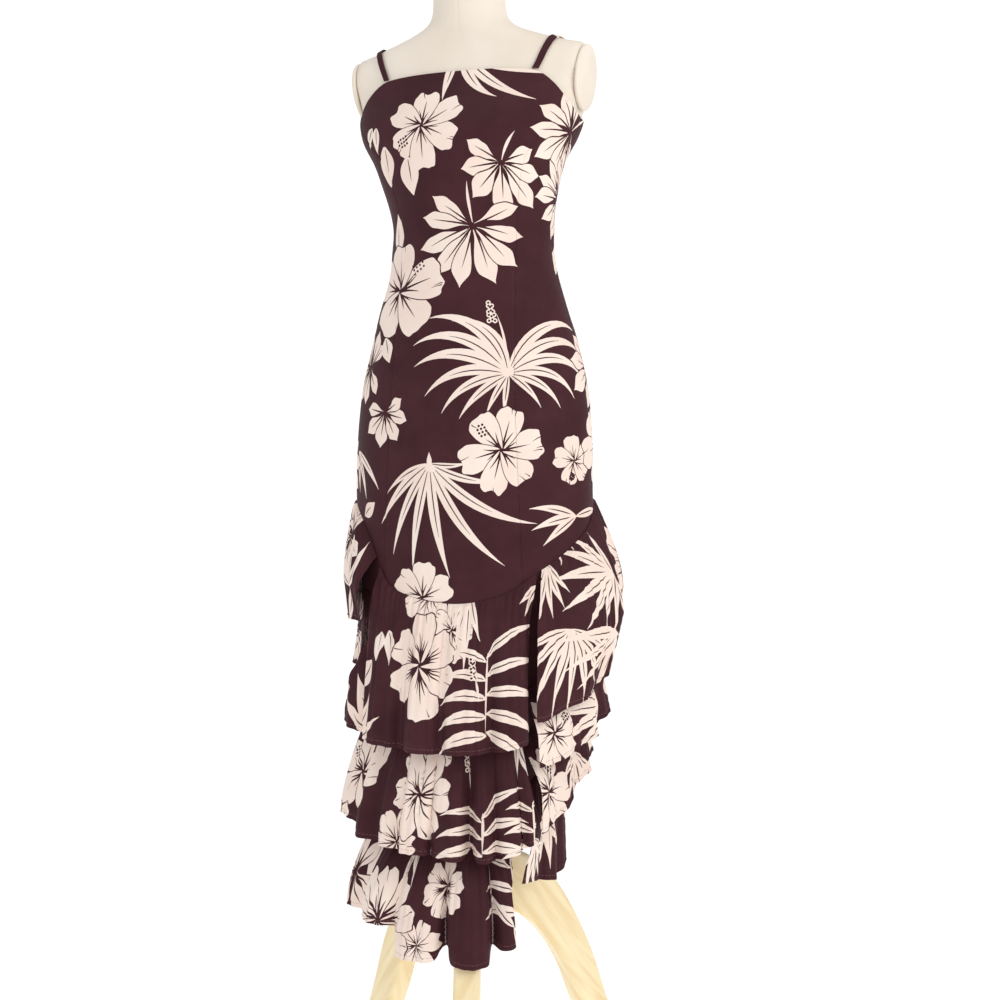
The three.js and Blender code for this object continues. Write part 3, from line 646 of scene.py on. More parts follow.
# where each motif lies: across and height in millimetres on the cloth, turn in
# degrees, the motif and its settings in the order of its own list; the front of
# the fitted dress comes first
fittedPrint = [
    (0, 1450, 0, spray, [(-110, 78, 19, 26), (-72, 104, 20, 56), (-50, 148, 19, 40)]),
    (14, 1434, 0, spray, [(-14, 150, 19, 10)]),
    (-196, 1372, 0, spray, [(34, 96, 13, -14)]),
    (-35, 1336, 8, hibiscus, 56, 6, 86, 196, 4),
    (-122, 1342, -20, bud, 0.9),
    (-102, 1314, 6, leaflet, 1.1, 258),
    (-60, 1296, 0, leaflet, 1.05, 268),
    (76, 1282, 0, palm, 64, 7, 148, 383, 72, 3),
    (30, 1200, 0, palm, 82, 9, 142, 380, 104, 6),
    (-98, 1172, 0, blade, 0, 0, 92, 54, 25),
    (-86, 1114, 0, hibiscus, 72, 5, 18, 34, 8),
    (84, 994, 0, tuft),
    (76, 890, 0, hibiscus, 58, 6, 12, 124, 11),
    (-26, 872, 0, fan),
    (-37, 688, 0, hibiscus, 52, 6, 20, None, 15),
    (-104, 944, 0, palm, 46, 6, 170, 390, None, 5),
    (-148, 1010, 0, palm, 58, 8, 40, 300, 60, 9),
    (-112, 1050, 0, leaflet, 0.8, 286),
    (-176, 892, 0, spray, [(-30, 84, 15, -30), (-58, 76, 14, -20), (-84, 60, 13, 0)]),
    (-150, 800, 0, leaflet, 0.7, 30),
    (192, 1330, 0, palm, 70, 8, 96, 300, 40, 12),
    (186, 1246, 0, palm, 62, 8, 100, 300, 70, 13),
    (184, 1180, 0, leaflet, 0.9, 250),
    (182, 876, 0, hibiscus, 34, 5, 30, 250, 16),
    (186, 800, 0, spray, [(160, 74, 16, 30), (186, 72, 17, 24), (212, 66, 16, 14),
                          (14, 70, 16, -20)]),
    (240, 1010, 0, palm, 60, 8, 60, 330, 30, 14),
    (262, 900, 0, hibiscus, 62, 6, 12, 60, 17),
    # the sides and the back carry the same flowers and leaves
    (292, 1318, 0, hibiscus, 58, 6, 30, 140, 21),
    (372, 1262, 0, palm, 70, 8, 130, 390, 84, 22),
    (268, 1160, 0, palm, 62, 8, 140, 390, 94, 23),
    (322, 1062, 0, tuft, 0.86),
    (392, 918, 0, fan, 0.9),
    (-214, 1278, 0, leaflet, 1.1, 255),
    (-232, 1176, 0, palm, 64, 8, 140, 400, 88, 24),
    (-306, 1300, 0, hibiscus, 60, 5, 60, 20, 25),
    (-392, 1330, 0, leaflet, 1.2, 276),
    (-216, 1064, 0, hibiscus, 62, 6, 10, 200, 26),
    (-330, 1166, 0, fan, 0.7),
    (-302, 968, 0, tuft, 0.8),
    (-390, 876, 0, hibiscus, 64, 6, 44, 110, 27),
    (-224, 880, 0, palm, 58, 8, 130, 390, 80, 28),
    (318, 850, 0, leaflet, 1.1, 290),
    (470, 1090, 0, hibiscus, 62, 6, 0, 70, 29),
    (-440, 1030, 0, palm, 60, 8, 130, 390, 80, 30),
]

# hands of long blades for the side flounces, each a list for a spray
handLeft = [(140, 100, 20, 24), (158, 128, 22, 22), (176, 142, 23, 20), (194, 140, 22, 18),
            (212, 122, 21, 14), (232, 100, 20, 10), (256, 84, 18, 6), (284, 70, 16, -4),
            (112, 64, 16, 20)]
handDown = [(194, 88, 15, 26), (215, 106, 17, 20), (235, 122, 17, 14), (255, 128, 17, 6),
            (275, 122, 17, -2), (296, 112, 17, -10), (318, 100, 16, -18), (342, 84, 15, -24)]
handShort = [(214, 62, 15, 10), (236, 70, 16, 8), (256, 76, 17, 4), (276, 74, 17, 0),
             (296, 66, 16, -4), (318, 56, 14, -6)]

stripPrint = {
    "flounce_front_1": [
        (-37, 692, 0, hibiscus, 48, 6, 20, None, 15),
        (-120, 640, 0, bud, 1.2),
        (-150, 600, 0, leaflet, 1.0, 240),
        (18, 646, 0, hibiscus, 42, 5, 10, 210, 32),
        (-37, 598, 0, hibiscus, 70, 6, 34, None, 31, 5),
        (44, 696, 0, spray, [(236, 58, 18, 10), (254, 76, 22, 6), (272, 104, 24, -6),
                             (290, 70, 18, 8)]),
        (84, 604, 0, frond, 98, 92, 108, 5, 15),
        (72, 556, 0, spike, 44),
        (-176, 486, 0, spray, [(134, 74, 22, -16), (110, 96, 26, -12), (84, 104, 26, 10),
                               (60, 84, 24, 16), (30, 70, 20, 10)]),
        (-214, 560, 0, leaflet, 0.9, 200),
        (172, 706, 0, spray, [(214, 40, 14, 10), (240, 46, 14, 6)]),
    ],
    "flounce_front_2": [
        (-208, 440, 0, hibiscus, 54, 5, 10, 120, 35),
        (-84, 356, 0, hibiscus, 46, 6, 64, None, 36),
        (-18, 482, 0, hibiscus, 42, 5, 66, 210, 34),
        (-38, 424, 0, hibiscus, 62, 6, 0, None, 33, 3),
        (82, 392, 0, frond, 44, 92, 92, 3, 13),
        (172, 404, 0, frond, 54, 60, 60, 3, 12),
        (158, 504, 0, spray, [(262, 60, 16, 10), (284, 64, 15, 8)]),
        (62, 432, 0, spike, 40),
        (-250, 352, 0, palm, 56, 7, 20, 240, None, 37),
        (-150, 500, 0, leaflet, 1.1, 262),
    ],
    "flounce_front_3": [
        (-28, 226, 0, hibiscus, 36, 6, 70, None, 41),
        (-112, 250, 0, hibiscus, 76, 9, 90, None, 42, 3),
        (-170, 346, 0, leaflet, 1.3, 250),
        (12, 300, 0, hibiscus, 40, 6, 20, None, 43, 5),
        (-66, 366, 0, spray, [(250, 76, 17, 10), (276, 70, 16, 8)]),
        (146, 326, 0, frond, 56, 60, 66, 3, 12),
        (136, 254, 0, spray, [(130, 52, 15, -10), (286, 60, 12, 14), (312, 74, 12, 10)]),
        (-216, 300, 0, palm, 64, 8, 60, 330, None, 44),
    ],
    "flounce_back_1_left": [
        (392, 722, 0, spray, handLeft),
        (300, 812, 0, spray, [(196, 64, 16, 10), (220, 90, 20, 14), (246, 84, 20, 10),
                              (280, 60, 18, 0)]),
        (240, 736, 0, spray, handShort),
        (270, 648, 0, spray, handDown),
        (388, 640, 0, spray, handLeft[2:8]),
        (478, 730, 0, hibiscus, 64, 6, 20, 60, 51),
        (590, 742, 0, palm, 68, 8, 130, 390, 80, 52),
        (700, 690, 0, hibiscus, 66, 6, 20, 160, 53),
        (760, 796, 0, leaflet, 1.3, 260),
        (510, 800, 0, leaflet, 1.1, 250),
    ],
    "flounce_back_1_right": [
        (-262, 770, 0, palm, 64, 8, 60, 330, None, 54),
        (-232, 700, 0, spray, [(60, 70, 20, 10), (100, 74, 20, 0), (140, 70, 18, 0),
                               (250, 60, 16, 0)]),
        (-350, 706, 0, hibiscus, 66, 6, 20, 60, 55),
        (-452, 752, 0, tuft, 0.7),
        (-560, 690, 0, hibiscus, 62, 6, 60, 130, 56),
        (-660, 748, 0, palm, 66, 8, 130, 390, 80, 57),
    ],
    "flounce_back_2_left": [
        (352, 536, 0, spray, handLeft[:6]),
        (218, 508, 0, hibiscus, 48, 5, 250, 30, 58),
        (290, 590, 0, leaflet, 1.1, 262),
        (430, 580, 0, hibiscus, 62, 6, 30, 160, 61),
        (540, 600, 0, palm, 62, 8, 130, 390, 80, 62),
        (640, 590, 0, hibiscus, 60, 6, 0, 60, 63),
    ],
    "flounce_back_2_right": [
        (-250, 640, 0, palm, 56, 8, 60, 330, None, 64),
        (-350, 610, 0, hibiscus, 58, 6, 30, 160, 65),
        (-460, 640, 0, spray, handShort),
        (-570, 600, 0, hibiscus, 58, 6, 0, 60, 66),
    ],
    "flounce_back_3_left": [
        (190, 428, 0, hibiscus, 54, 6, 10, 60, 72),
        (276, 474, 0, spray, handShort),
        (286, 420, 0, leaflet, 1.0, 60),
        (380, 520, 0, palm, 58, 8, 130, 390, 80, 73),
        (490, 520, 0, hibiscus, 56, 6, 10, 60, 74),
        (590, 540, 0, leaflet, 1.3, 280),
    ],
    "flounce_back_3_right": [
        (-240, 570, 0, leaflet, 1.4, 250),
        (-330, 540, 0, hibiscus, 56, 6, 10, 60, 75),
        (-440, 560, 0, palm, 58, 8, 130, 390, 80, 76),
        (-540, 540, 0, hibiscus, 54, 6, 40, 160, 77),
    ],
    "flounce_back_4_left": [
        (148, 366, 0, spray, handShort),
        (206, 386, 0, spray, [(250, 66, 24, 4), (276, 74, 22, 0), (220, 60, 20, 6),
                              (304, 60, 18, 0)]),
        (290, 420, 0, hibiscus, 50, 6, 30, 160, 81),
        (380, 440, 0, palm, 52, 8, 130, 390, 80, 82),
        (470, 440, 0, hibiscus, 52, 6, 10, 60, 83),
    ],
    "flounce_back_4_right": [
        (-240, 460, 0, palm, 52, 8, 130, 390, 80, 84),
        (-340, 450, 0, hibiscus, 52, 6, 30, 160, 85),
        (-450, 450, 0, leaflet, 1.4, 250),
    ],
    "strap_left": [(0, 112, 0, leaflet, 1.15, 270)],
    "strap_right": [(0, 300, 0, leaflet, 1.2, 270)],
}


def printShapes(places):
    shapes = []
    for x, y, turn, motif, *settings in places:
        shapes += [(turned(outline, turn, x, y), ink) for outline, ink in motif(*settings)]
    return shapes


def addNode(tree, kind, settings=None, links=None):
    # a node, its values and what feeds it, {input: (node, output)}, by name or
    # number; stops are the places and colours of a ramp
    node = tree.nodes.new(kind)
    for key, value in (settings or {}).items():
        if key == "stops":
            for element, (place, code) in zip(node.color_ramp.elements, value):
                element.position = place
                element.color = toLinear(code)
        elif isinstance(key, str) and hasattr(node, key):
            setattr(node, key, value)
        else:
            node.inputs[key].default_value = value
    for key, (source, output) in (links or {}).items():
        tree.links.new(source.outputs[output], node.inputs[key])
    return node


def newMaterial(name, settings):
    material = bpy.data.materials.new(name)
    material.use_nodes = True
    tree = material.node_tree
    shader = tree.nodes["Principled BSDF"]
    for key, value in settings.items():
        shader.inputs[key].default_value = value
    return material, tree, shader


softLit = {"data_type": "RGBA", "blend_type": "SOFT_LIGHT"}  # its colours are inputs 6 and 7


# Printed dress cloth is a smooth plain weave with soft body: a low sheen along
# the folds, a faint thread texture and a little unevenness in the dye. Threads of
# a third of a millimetre are too fine to show, so they are drawn 1.1 mm apart.
def clothMaterial(name, dark, light, rough, sheen, sewn, patch=14.0):
    material, tree, shader = newMaterial(name, {
        "Roughness": rough, "Sheen Weight": sheen, "Sheen Roughness": 0.45, "IOR": 1.45,
        "Specular IOR Level": 0.18})
    flat = addNode(tree, "ShaderNodeUVMap", {"uv_map": "cut"})
    onCloth = {"Vector": (flat, "UV")}
    dye = addNode(tree, "ShaderNodeTexNoise", {"Scale": patch, "Detail": 4.0, "Roughness": 0.6},
                  onCloth)
    tone = addNode(tree, "ShaderNodeValToRGB", {"stops": ((0.35, dark), (0.65, light))},
                   {"Fac": (dye, "Fac")})
    thread = addNode(tree, "ShaderNodeTexNoise", {"Scale": 900.0, "Detail": 1.0}, onCloth)
    grainy = addNode(tree, "ShaderNodeMix", {**softLit, 0: 0.10},
                     {6: (tone, "Color"), 7: (thread, "Color")})
    bands = {"wave_type": "BANDS", "bands_direction": "X", "Scale": 285.0}
    warp = addNode(tree, "ShaderNodeTexWave", bands, onCloth)
    weft = addNode(tree, "ShaderNodeTexWave", {**bands, "bands_direction": "Y"}, onCloth)
    both = addNode(tree, "ShaderNodeMath", {"operation": "MULTIPLY"},
                   {0: (warp, "Fac"), 1: (weft, "Fac")})
    weave = addNode(tree, "ShaderNodeBump", {"Strength": 0.12, "Distance": 0.0002},
                    {"Height": (both, "Value")})
    stretched = addNode(tree, "ShaderNodeMapping", {"Scale": (1.0, 0.45, 1.0)}, onCloth)
    crease = addNode(tree, "ShaderNodeTexNoise", {"Scale": 42.0, "Detail": 3.0, "Roughness": 0.5},
                     {"Vector": (stretched, "Vector")})
    crumple = addNode(tree, "ShaderNodeBump", {"Strength": 0.22, "Distance": 0.0022},
                      {"Height": (crease, "Fac"), "Normal": (weave, "Normal")})
    # a row of stitches a hem's width above the edge, drawn a little longer than real ones
    edge = addNode(tree, "ShaderNodeAttribute", {"attribute_name": "edge"})
    offLine = addNode(tree, "ShaderNodeMath", {"operation": "SUBTRACT", 1: cloth["hem"] * metre},
                      {0: (edge, "Fac")})
    away = addNode(tree, "ShaderNodeMath", {"operation": "ABSOLUTE"}, {0: (offLine, "Value")})
    onLine = addNode(tree, "ShaderNodeMath", {"operation": "LESS_THAN", 1: 0.00045},
                     {0: (away, "Value")})
    dash = addNode(tree, "ShaderNodeTexWave", {**bands, "Scale": 80.0}, onCloth)
    dashOn = addNode(tree, "ShaderNodeMath", {"operation": "GREATER_THAN", 1: 0.35},
                     {0: (dash, "Fac")})
    stitch = addNode(tree, "ShaderNodeMath", {"operation": "MULTIPLY"},
                     {0: (onLine, "Value"), 1: (dashOn, "Value")})
    threaded = addNode(tree, "ShaderNodeMix", {"data_type": "RGBA", 7: toLinear(sewn)},
                       {0: (stitch, "Value"), 6: (grainy, 2)})
    tree.links.new(threaded.outputs[2], shader.inputs["Base Color"])
    tree.links.new(crumple.outputs["Normal"], shader.inputs["Normal"])
    return material


clothMaterials = [
    clothMaterial("plumWovenCloth", "#3d1c22", "#47242a", 0.66, 0.02, "#6b4b4b"),
    clothMaterial("creamPrintedCloth", "#f4ddd1", "#faeade", 0.68, 0.02, "#cdb3a8", 9.0),
    clothMaterial("plumClothReverse", "#ab979b", "#bba7a9", 0.8, 0.05, "#7a5a58"),
    clothMaterial("creamPrintReverse", "#dbc6bf", "#e8d6ce", 0.8, 0.05, "#a58d88"),
]


def coverMaterial():
    # Cotton jersey stretched over the form: matt, warm white, fine loops drawn
    # 1.4 mm apart, a little darker where hands have been.
    material, tree, shader = newMaterial("creamJerseyCover", {
        "Roughness": 0.88, "Sheen Weight": 0.15, "Sheen Roughness": 0.5,
        "Specular IOR Level": 0.25})
    place = addNode(tree, "ShaderNodeTexCoord")
    soil = addNode(tree, "ShaderNodeTexNoise", {"Scale": 7.0, "Detail": 4.0},
                   {"Vector": (place, "Object")})
    tone = addNode(tree, "ShaderNodeValToRGB", {"stops": ((0.35, "#e9ddcd"), (0.65, "#f3e9dc"))},
                   {"Fac": (soil, "Fac")})
    tree.links.new(tone.outputs["Color"], shader.inputs["Base Color"])
    loops = addNode(tree, "ShaderNodeTexVoronoi", {"Scale": 700.0}, {"Vector": (place, "Object")})
    nubs = addNode(tree, "ShaderNodeBump", {"Strength": 0.2, "Distance": 0.0004},
                   {"Height": (loops, "Distance")})
    tree.links.new(nubs.outputs["Normal"], shader.inputs["Normal"])
    return material


def pineMaterial():
    # Pine under clear satin varnish: pale yellow with soft darker year rings that
    # run along each board, and a gentle gloss.
    material, tree, shader = newMaterial("varnishedPine", {
        "Roughness": 0.38, "Coat Weight": 0.25, "Coat Roughness": 0.25, "IOR": 1.5})
    board = addNode(tree, "ShaderNodeUVMap", {"uv_map": "grain"})
    along = addNode(tree, "ShaderNodeMapping", {"Scale": (1.0, 9.0, 1.0)},
                    {"Vector": (board, "UV")})
    wander = addNode(tree, "ShaderNodeTexNoise", {"Scale": 9.0, "Detail": 3.0, "Distortion": 0.6},
                     {"Vector": (along, "Vector")})
    rings = addNode(tree, "ShaderNodeValToRGB", {"stops": ((0.34, "#f3dba8"), (0.62, "#feeec4"))},
                    {"Fac": (wander, "Fac")})
    fibre = addNode(tree, "ShaderNodeMapping", {"Scale": (1.0, 30.0, 1.0)},
                    {"Vector": (board, "UV")})
    fine = addNode(tree, "ShaderNodeTexNoise", {"Scale": 30.0, "Detail": 3.0},
                   {"Vector": (fibre, "Vector")})
    soft = addNode(tree, "ShaderNodeMix", {**softLit, 0: 0.14},
                   {6: (rings, "Color"), 7: (fine, "Color")})
    tree.links.new(soft.outputs[2], shader.inputs["Base Color"])
    pores = addNode(tree, "ShaderNodeBump", {"Strength": 0.08, "Distance": 0.0004},
                    {"Height": (fine, "Fac")})
    tree.links.new(pores.outputs["Normal"], shader.inputs["Normal"])
    return material


jersey = coverMaterial()
pine = pineMaterial()
print("stage: materials ready")


def leftHanded(outline):
    # twice the area, below zero where the outline runs clockwise
    ahead = np.roll(outline, -1, axis=0)
    return (outline[:, 0] * ahead[:, 1] - outline[:, 1] * ahead[:, 0]).sum()


def evenly(outline, spacing):
    # the same outline, anticlockwise, with no step longer than the spacing
    if leftHanded(outline) < 0:
        outline = outline[::-1]
    ahead = np.roll(outline, -1, axis=0)
    counts = np.maximum(1, np.ceil(np.linalg.norm(ahead - outline, axis=1) / spacing).astype(int))
    return np.concatenate([outline[k] + (ahead[k] - outline[k]) * np.arange(n)[:, None] / n
                           for k, n in enumerate(counts)])


def cellsOf(points, size):
    # a number for the square that each point lies in
    across, up = np.floor(points / size).astype(np.int64).T
    return across * 100003 + up


def clothGrid(place, columns, downs):
    # edge points in order, and rows of inner points set like bricks
    top = np.linspace(0, 1, columns + 1)
    side = np.array(downs)
    level = np.ones(len(side) - 1)
    across = np.concatenate([top[:-1], level, top[::-1][:-1], 0 * level])
    down = np.concatenate([np.zeros(columns), side[:-1], np.ones(columns), side[::-1][:-1]])
    edge = np.stack(place(across, down), 1)
    inner = []
    for j, value in enumerate(side[1:-1]):
        row = (np.arange(columns - 1) + (0.75 if j % 2 else 1.25)) / columns
        inner.append(np.stack(place(row, np.full(len(row), value)), 1))
    return edge, np.concatenate(inner)


def cutFlat(edge, inner, shapes, spacing):
    # the flat cut as triangles, with the print's outlines cut into it
    lowest, highest = edge.min(0), edge.max(0)
    kept = []
    for outline, ink in shapes:
        if (outline.max(0) > lowest).all() and (outline.min(0) < highest).all():
            kept.append((evenly(outline, spacing), ink))
    if kept:
        taken = np.concatenate([outline for outline, ink in kept])
        size = 1.3  # inner points nearer to an outline than this are left out
        offsets = [np.array([i, j]) * size for i in (-1, 0, 1) for j in (-1, 0, 1)]
        busy = np.concatenate([cellsOf(taken + offset, size) for offset in offsets])
        inner = inner[~np.isin(cellsOf(inner, size), busy)]
    flat = [edge] + [outline for outline, ink in kept] + [inner]
    faces = []
    start = 0
    for part in flat[:-1]:
        faces.append(list(range(start, start + len(part))))
        start += len(part)
    points = [Vector(p) for p in np.concatenate(flat)]
    cut = delaunay_2d_cdt(points, [], faces, 1, 1e-4, True)
    flatPoints = np.array([list(p) for p in cut[0]])
    triangles = []
    inks = []
    for corners, owners in zip(cut[2], cut[5]):
        if 0 in owners and len(corners) == 3:
            triangles.append(corners)
            inks.append(kept[max(owners) - 1][1] if max(owners) > 0 else 0)
    triangles = np.array(triangles)
    inks = np.array(inks)
    a, b, c = (flatPoints[triangles[:, k]] for k in range(3))
    double = (b - a)[:, 0] * (c - a)[:, 1] - (b - a)[:, 1] * (c - a)[:, 0]
    triangles[double < 0] = triangles[double < 0][:, ::-1]
    keep = np.abs(double) > 1e-5
    triangles, inks = triangles[keep], inks[keep]
    used, again = np.unique(triangles, return_inverse=True)
    return flatPoints[used], again.reshape(triangles.shape), inks


def makeCloth(name, node, place, surface, columns, downs, shapes, hemOf=None, spacing=3.0,
              thick=cloth["thick"]):
    edge, inner = clothGrid(place, columns, downs)
    if leftHanded(edge) < 0:
        edge = edge[::-1]
    flatPoints, triangles, inks = cutFlat(edge, inner, shapes, spacing)
    s, z = flatPoints[:, 0], flatPoints[:, 1]
    outer = surface(s, z)
    h = 0.4
    normal = np.cross(surface(s + h, z) - surface(s - h, z), surface(s, z + h) - surface(s, z - h))
    normal /= np.linalg.norm(normal, axis=1)[:, None] + 1e-12
    inside = outer - normal * thick
    count = len(s)
    halves = np.concatenate([triangles[:, [0, 1]], triangles[:, [1, 2]], triangles[:, [2, 0]]])
    owner = np.tile(np.arange(len(triangles)), 3)
    code = halves.min(1) * count + halves.max(1)
    first, times = np.unique(code, return_index=True, return_counts=True)[1:]
    rim = first[times == 1]
    p, q = halves[rim, 0], halves[rim, 1]
    quads = np.stack([q, p, p + count, q + count], 1)
    reverse = triangles[:, ::-1] + count
    corners = np.concatenate([triangles.ravel(), reverse.ravel(), quads.ravel()])
    sizes = np.concatenate([np.full(2 * len(triangles), 3), np.full(len(quads), 4)])
    starts = np.concatenate([[0], np.cumsum(sizes)[:-1]])
    mesh = bpy.data.meshes.new(name)
    mesh.vertices.add(2 * count)
    where = np.concatenate([outer, inside]) * metre + np.array([axisX, axisY, 0])
    mesh.vertices.foreach_set("co", where.ravel())
    mesh.loops.add(len(corners))
    mesh.loops.foreach_set("vertex_index", corners)
    mesh.polygons.add(len(sizes))
    mesh.polygons.foreach_set("loop_start", starts)
    mesh.polygons.foreach_set("loop_total", sizes)
    mesh.update(calc_edges=True)
    mesh.polygons.foreach_set("material_index", np.concatenate([inks, inks + 2, inks[owner[rim]]]))
    mesh.polygons.foreach_set("use_smooth", np.ones(len(sizes), bool))
    both = np.concatenate([flatPoints, flatPoints]) * metre
    layer = mesh.uv_layers.new(name="cut")
    layer.data.foreach_set("uv", both[corners].ravel())
    edgeMark = mesh.attributes.new("edge", "FLOAT", "POINT")
    above = hemOf(s, z) * metre if hemOf else np.full(count, 1.0)
    edgeMark.data.foreach_set("value", np.concatenate([above, above]))
    for material in clothMaterials:
        mesh.materials.append(material)
    mesh.update()
    mesh.validate()
    shaded = np.concatenate([normal, -normal])[corners]
    start = where[quads[:, 0]]
    face = np.cross(where[quads[:, 1]] - start, where[quads[:, 2]] - start)
    face /= np.linalg.norm(face, axis=1)[:, None] + 1e-12
    shaded[6 * len(triangles):] = np.repeat(face, 4, axis=0)
    if len(mesh.loops) == len(shaded):
        mesh.normals_split_custom_set(shaded)
    piece = inScene(name, mesh)
    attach(piece, "root")
    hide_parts(node)
    return piece, edge, abs(leftHanded(edge)) / 2


def rowsFor(height, step, hem=False):
    # rows down a piece as shares, with close ones at a stitched hem
    rows = list(np.arange(0, height - (10 if hem else 0), step))
    if hem:
        rows += [height - k for k in (9, 7, 6, 5, 3)]
    return [r / height for r in rows if r < height - 1] + [1.0]


tally = []


def finishSheet(piece):
    tally.append((piece.name, len(piece.data.polygons)))


# the five fitted panels: gap between their edges, mesh steps, sewn-in edges
panel = {"gap": 0.3, "stepAcross": 5.0, "stepDown": 6.0, "tuck": 0.9, "tuckWidth": 2.2,
         "pucker": 0.22}


def panelEdges(kind, sign):
    # the two edge angles of a panel at a height
    def gapAngle(z):
        return np.degrees(panel["gap"] / 2 / (0.8 * smoothAt(halfOf, z)))

    def edges(z):
        seam = smoothAt(princessSeam, z)
        gap = gapAngle(z)
        if kind == "centre":
            return -seam + gap, seam - gap
        inner, outer = (seam + gap, 90 - gap) if kind == "side" else (90 + gap, 180 - gap)
        return (inner, outer) if sign > 0 else (-outer, -inner)
    return edges


def makePanel(name, node, kind, sign=1):
    edges = panelEdges(kind, sign)

    def place(across, down):
        angle = np.zeros(len(across))
        z = np.full(len(across), 1000.0)
        for step in range(12):
            first, last = edges(z)
            angle = mix(first, last, across)
            z = mix(smoothAt(topEdge, np.abs(angle)), seamAt(angle), down)
        return arcAt(angle, z), z

    def surface(s, z):
        angle = angleAt(s, z)
        first, last = edges(z)
        near = np.minimum(s - arcAt(first, z), arcAt(last, z) - s)
        low = z - seamAt(angle)
        top = smoothAt(topEdge, np.abs(angle)) - z
        calm = rise(low / 25) * rise(top / 12)
        aside = np.abs(angle)
        # soft waves above the curved seam, at the sides of the waist and over the hips
        soft = 0.9 * np.sin(s / 13 + 0.006 * z) * bell(z - 780, 120)
        soft = soft + 0.7 * np.sin(z / 11 + s / 37) * bell(z - 1205, 50) * bell(aside - 80, 32)
        soft = soft + 0.5 * np.sin(z / 17 - s / 23) * bell(z - 1100, 70) * rise((aside - 30) / 30)
        near, low, top = (np.clip(away, 0, None) for away in (near, low, top))
        pucker = panel["pucker"] * np.sin(z / 2.1 + 3 * np.sin(z / 37)) * np.exp(-near / 7)
        sewn = -panel["tuck"] * bell(near, panel["tuckWidth"])
        sewn = sewn - 0.7 * bell(low, 2.0) - 0.5 * bell(top, 1.2)
        return bodyPoint(angle, z, calm * (soft + pucker) + sewn)

    width = {"centre": 250, "side": 100, "back": 230}[kind]
    columns = int(width / panel["stepAcross"])
    piece, edge, area = makeCloth(name, node, place, surface, columns,
                                  rowsFor(700, panel["stepDown"]), printShapes(fittedPrint),
                                  spacing=4.0)
    finishSheet(piece)


makePanel("frontCentrePanel", "bodice_front_centre", "centre")
for label, sign in (("Left", 1), ("Right", -1)):
    makePanel("frontSidePanel" + label, "bodice_front_side_" + label.lower(), "side", sign)
    makePanel("backPanel" + label, "bodice_back_" + label.lower(), "back", sign)
print("stage: fitted panels made")

# the hidden underskirt that the lower strips hang from
under = {"hem": 352, "columns": 36, "rows": 24, "perDegree": 2.5}
for label, first, last in (("Front", -89.9, 89.9), ("Back", 90.1, 269.9)):

    def placeUnder(across, down):
        angle = mix(first, last, across)
        return angle * under["perDegree"], mix(seamAt(angle) - 0.3, under["hem"], down)

    def surfaceUnder(s, z):
        return bodyPoint(s / under["perDegree"], z, underLift + 0 * s)

    piece, edge, area = makeCloth("underskirt" + label, "underskirt_" + label.lower(), placeUnder,
                                  surfaceUnder, under["columns"],
                                  list(np.linspace(0, 1, under["rows"])), [])
    finishSheet(piece)

# the gathered strips: three in front, four on each side
strips = [("flounce_front_%d" % (k + 1), "front", k, None) for k in range(3)]
strips += [("flounce_back_%d_%s" % (k + 1, side), "back", k, side)
           for k in range(4) for side in ("left", "right")]
for node, kind, index, side in strips:
    strip = makeStrip(kind, index, side)
    sLow, zLow = strip["place"](np.linspace(0, 1, 40), np.ones(40))
    sTop, zTop = strip["place"](np.linspace(0, 1, 40), np.zeros(40))
    height = float((zTop - zLow).max())
    width = float(max(sLow.max(), sTop.max()) - min(sLow.min(), sTop.min()))

    def hemHeight(s, z, strip=strip):
        return z - smoothAt(strip["tier"]["hem"], strip["angleOf"](s))

    name = "flounce" + "".join(word.capitalize() for word in node.split("_")[1:])
    piece, edge, area = makeCloth(name, node, strip["place"], strip["surface"], int(width / 2.6),
                                  rowsFor(height, 4.5, True), printShapes(stripPrint[node]),
                                  hemHeight, spacing=2.6)
    # the first strips are sewn to the fitted panels, the others to the underskirt
    finishSheet(piece)
print("stage: flounces made", sum(n for name, n in tally), "faces of cloth")

# shoulder straps: x and topX are distances from the middle, below and on top
strap = {"width": 9, "x": 110, "topX": 132, "front": 34, "back": 150, "inset": -4.2,
         "steps": 26, "ease": 3, "rest": 2.6, "crown": 1.2}
shoulder = column([(58, 1508), (68, 1494), (88, 1483), (114, 1474), (139, 1466), (158, 1457),
                   (169, 1440)])


def strapPath(offset):
    # the form's own line over the shoulder, further out the higher it is
    topX = strap["topX"] + offset
    ridge = float(smoothAt(shoulder, topX - strap["inset"]))
    path = []
    for side, sign in (("front", -1), ("back", 1)):
        end = float(smoothAt(topEdge, strap[side])) + panel["gap"]
        climb = np.sin(np.linspace(0, 1, strap["steps"] + 1) * np.pi / 2)
        z = mix(end, ridge, climb)
        x = mix(strap["x"] + offset, topX, climb)
        power = smoothAt(squareOf, z)
        share = np.minimum(1, x / (smoothAt(halfOf, z) + strap["inset"]))
        depthOf = frontOf if side == "front" else backOf
        deep = (smoothAt(depthOf, z) + strap["inset"]) * (1 - share ** power) ** (1 / power)
        part = np.stack([smoothAt(centreOf, z) + sign * deep, z, x], 1)
        path.append(part if side == "front" else part[::-1][1:])
    return np.concatenate(path)


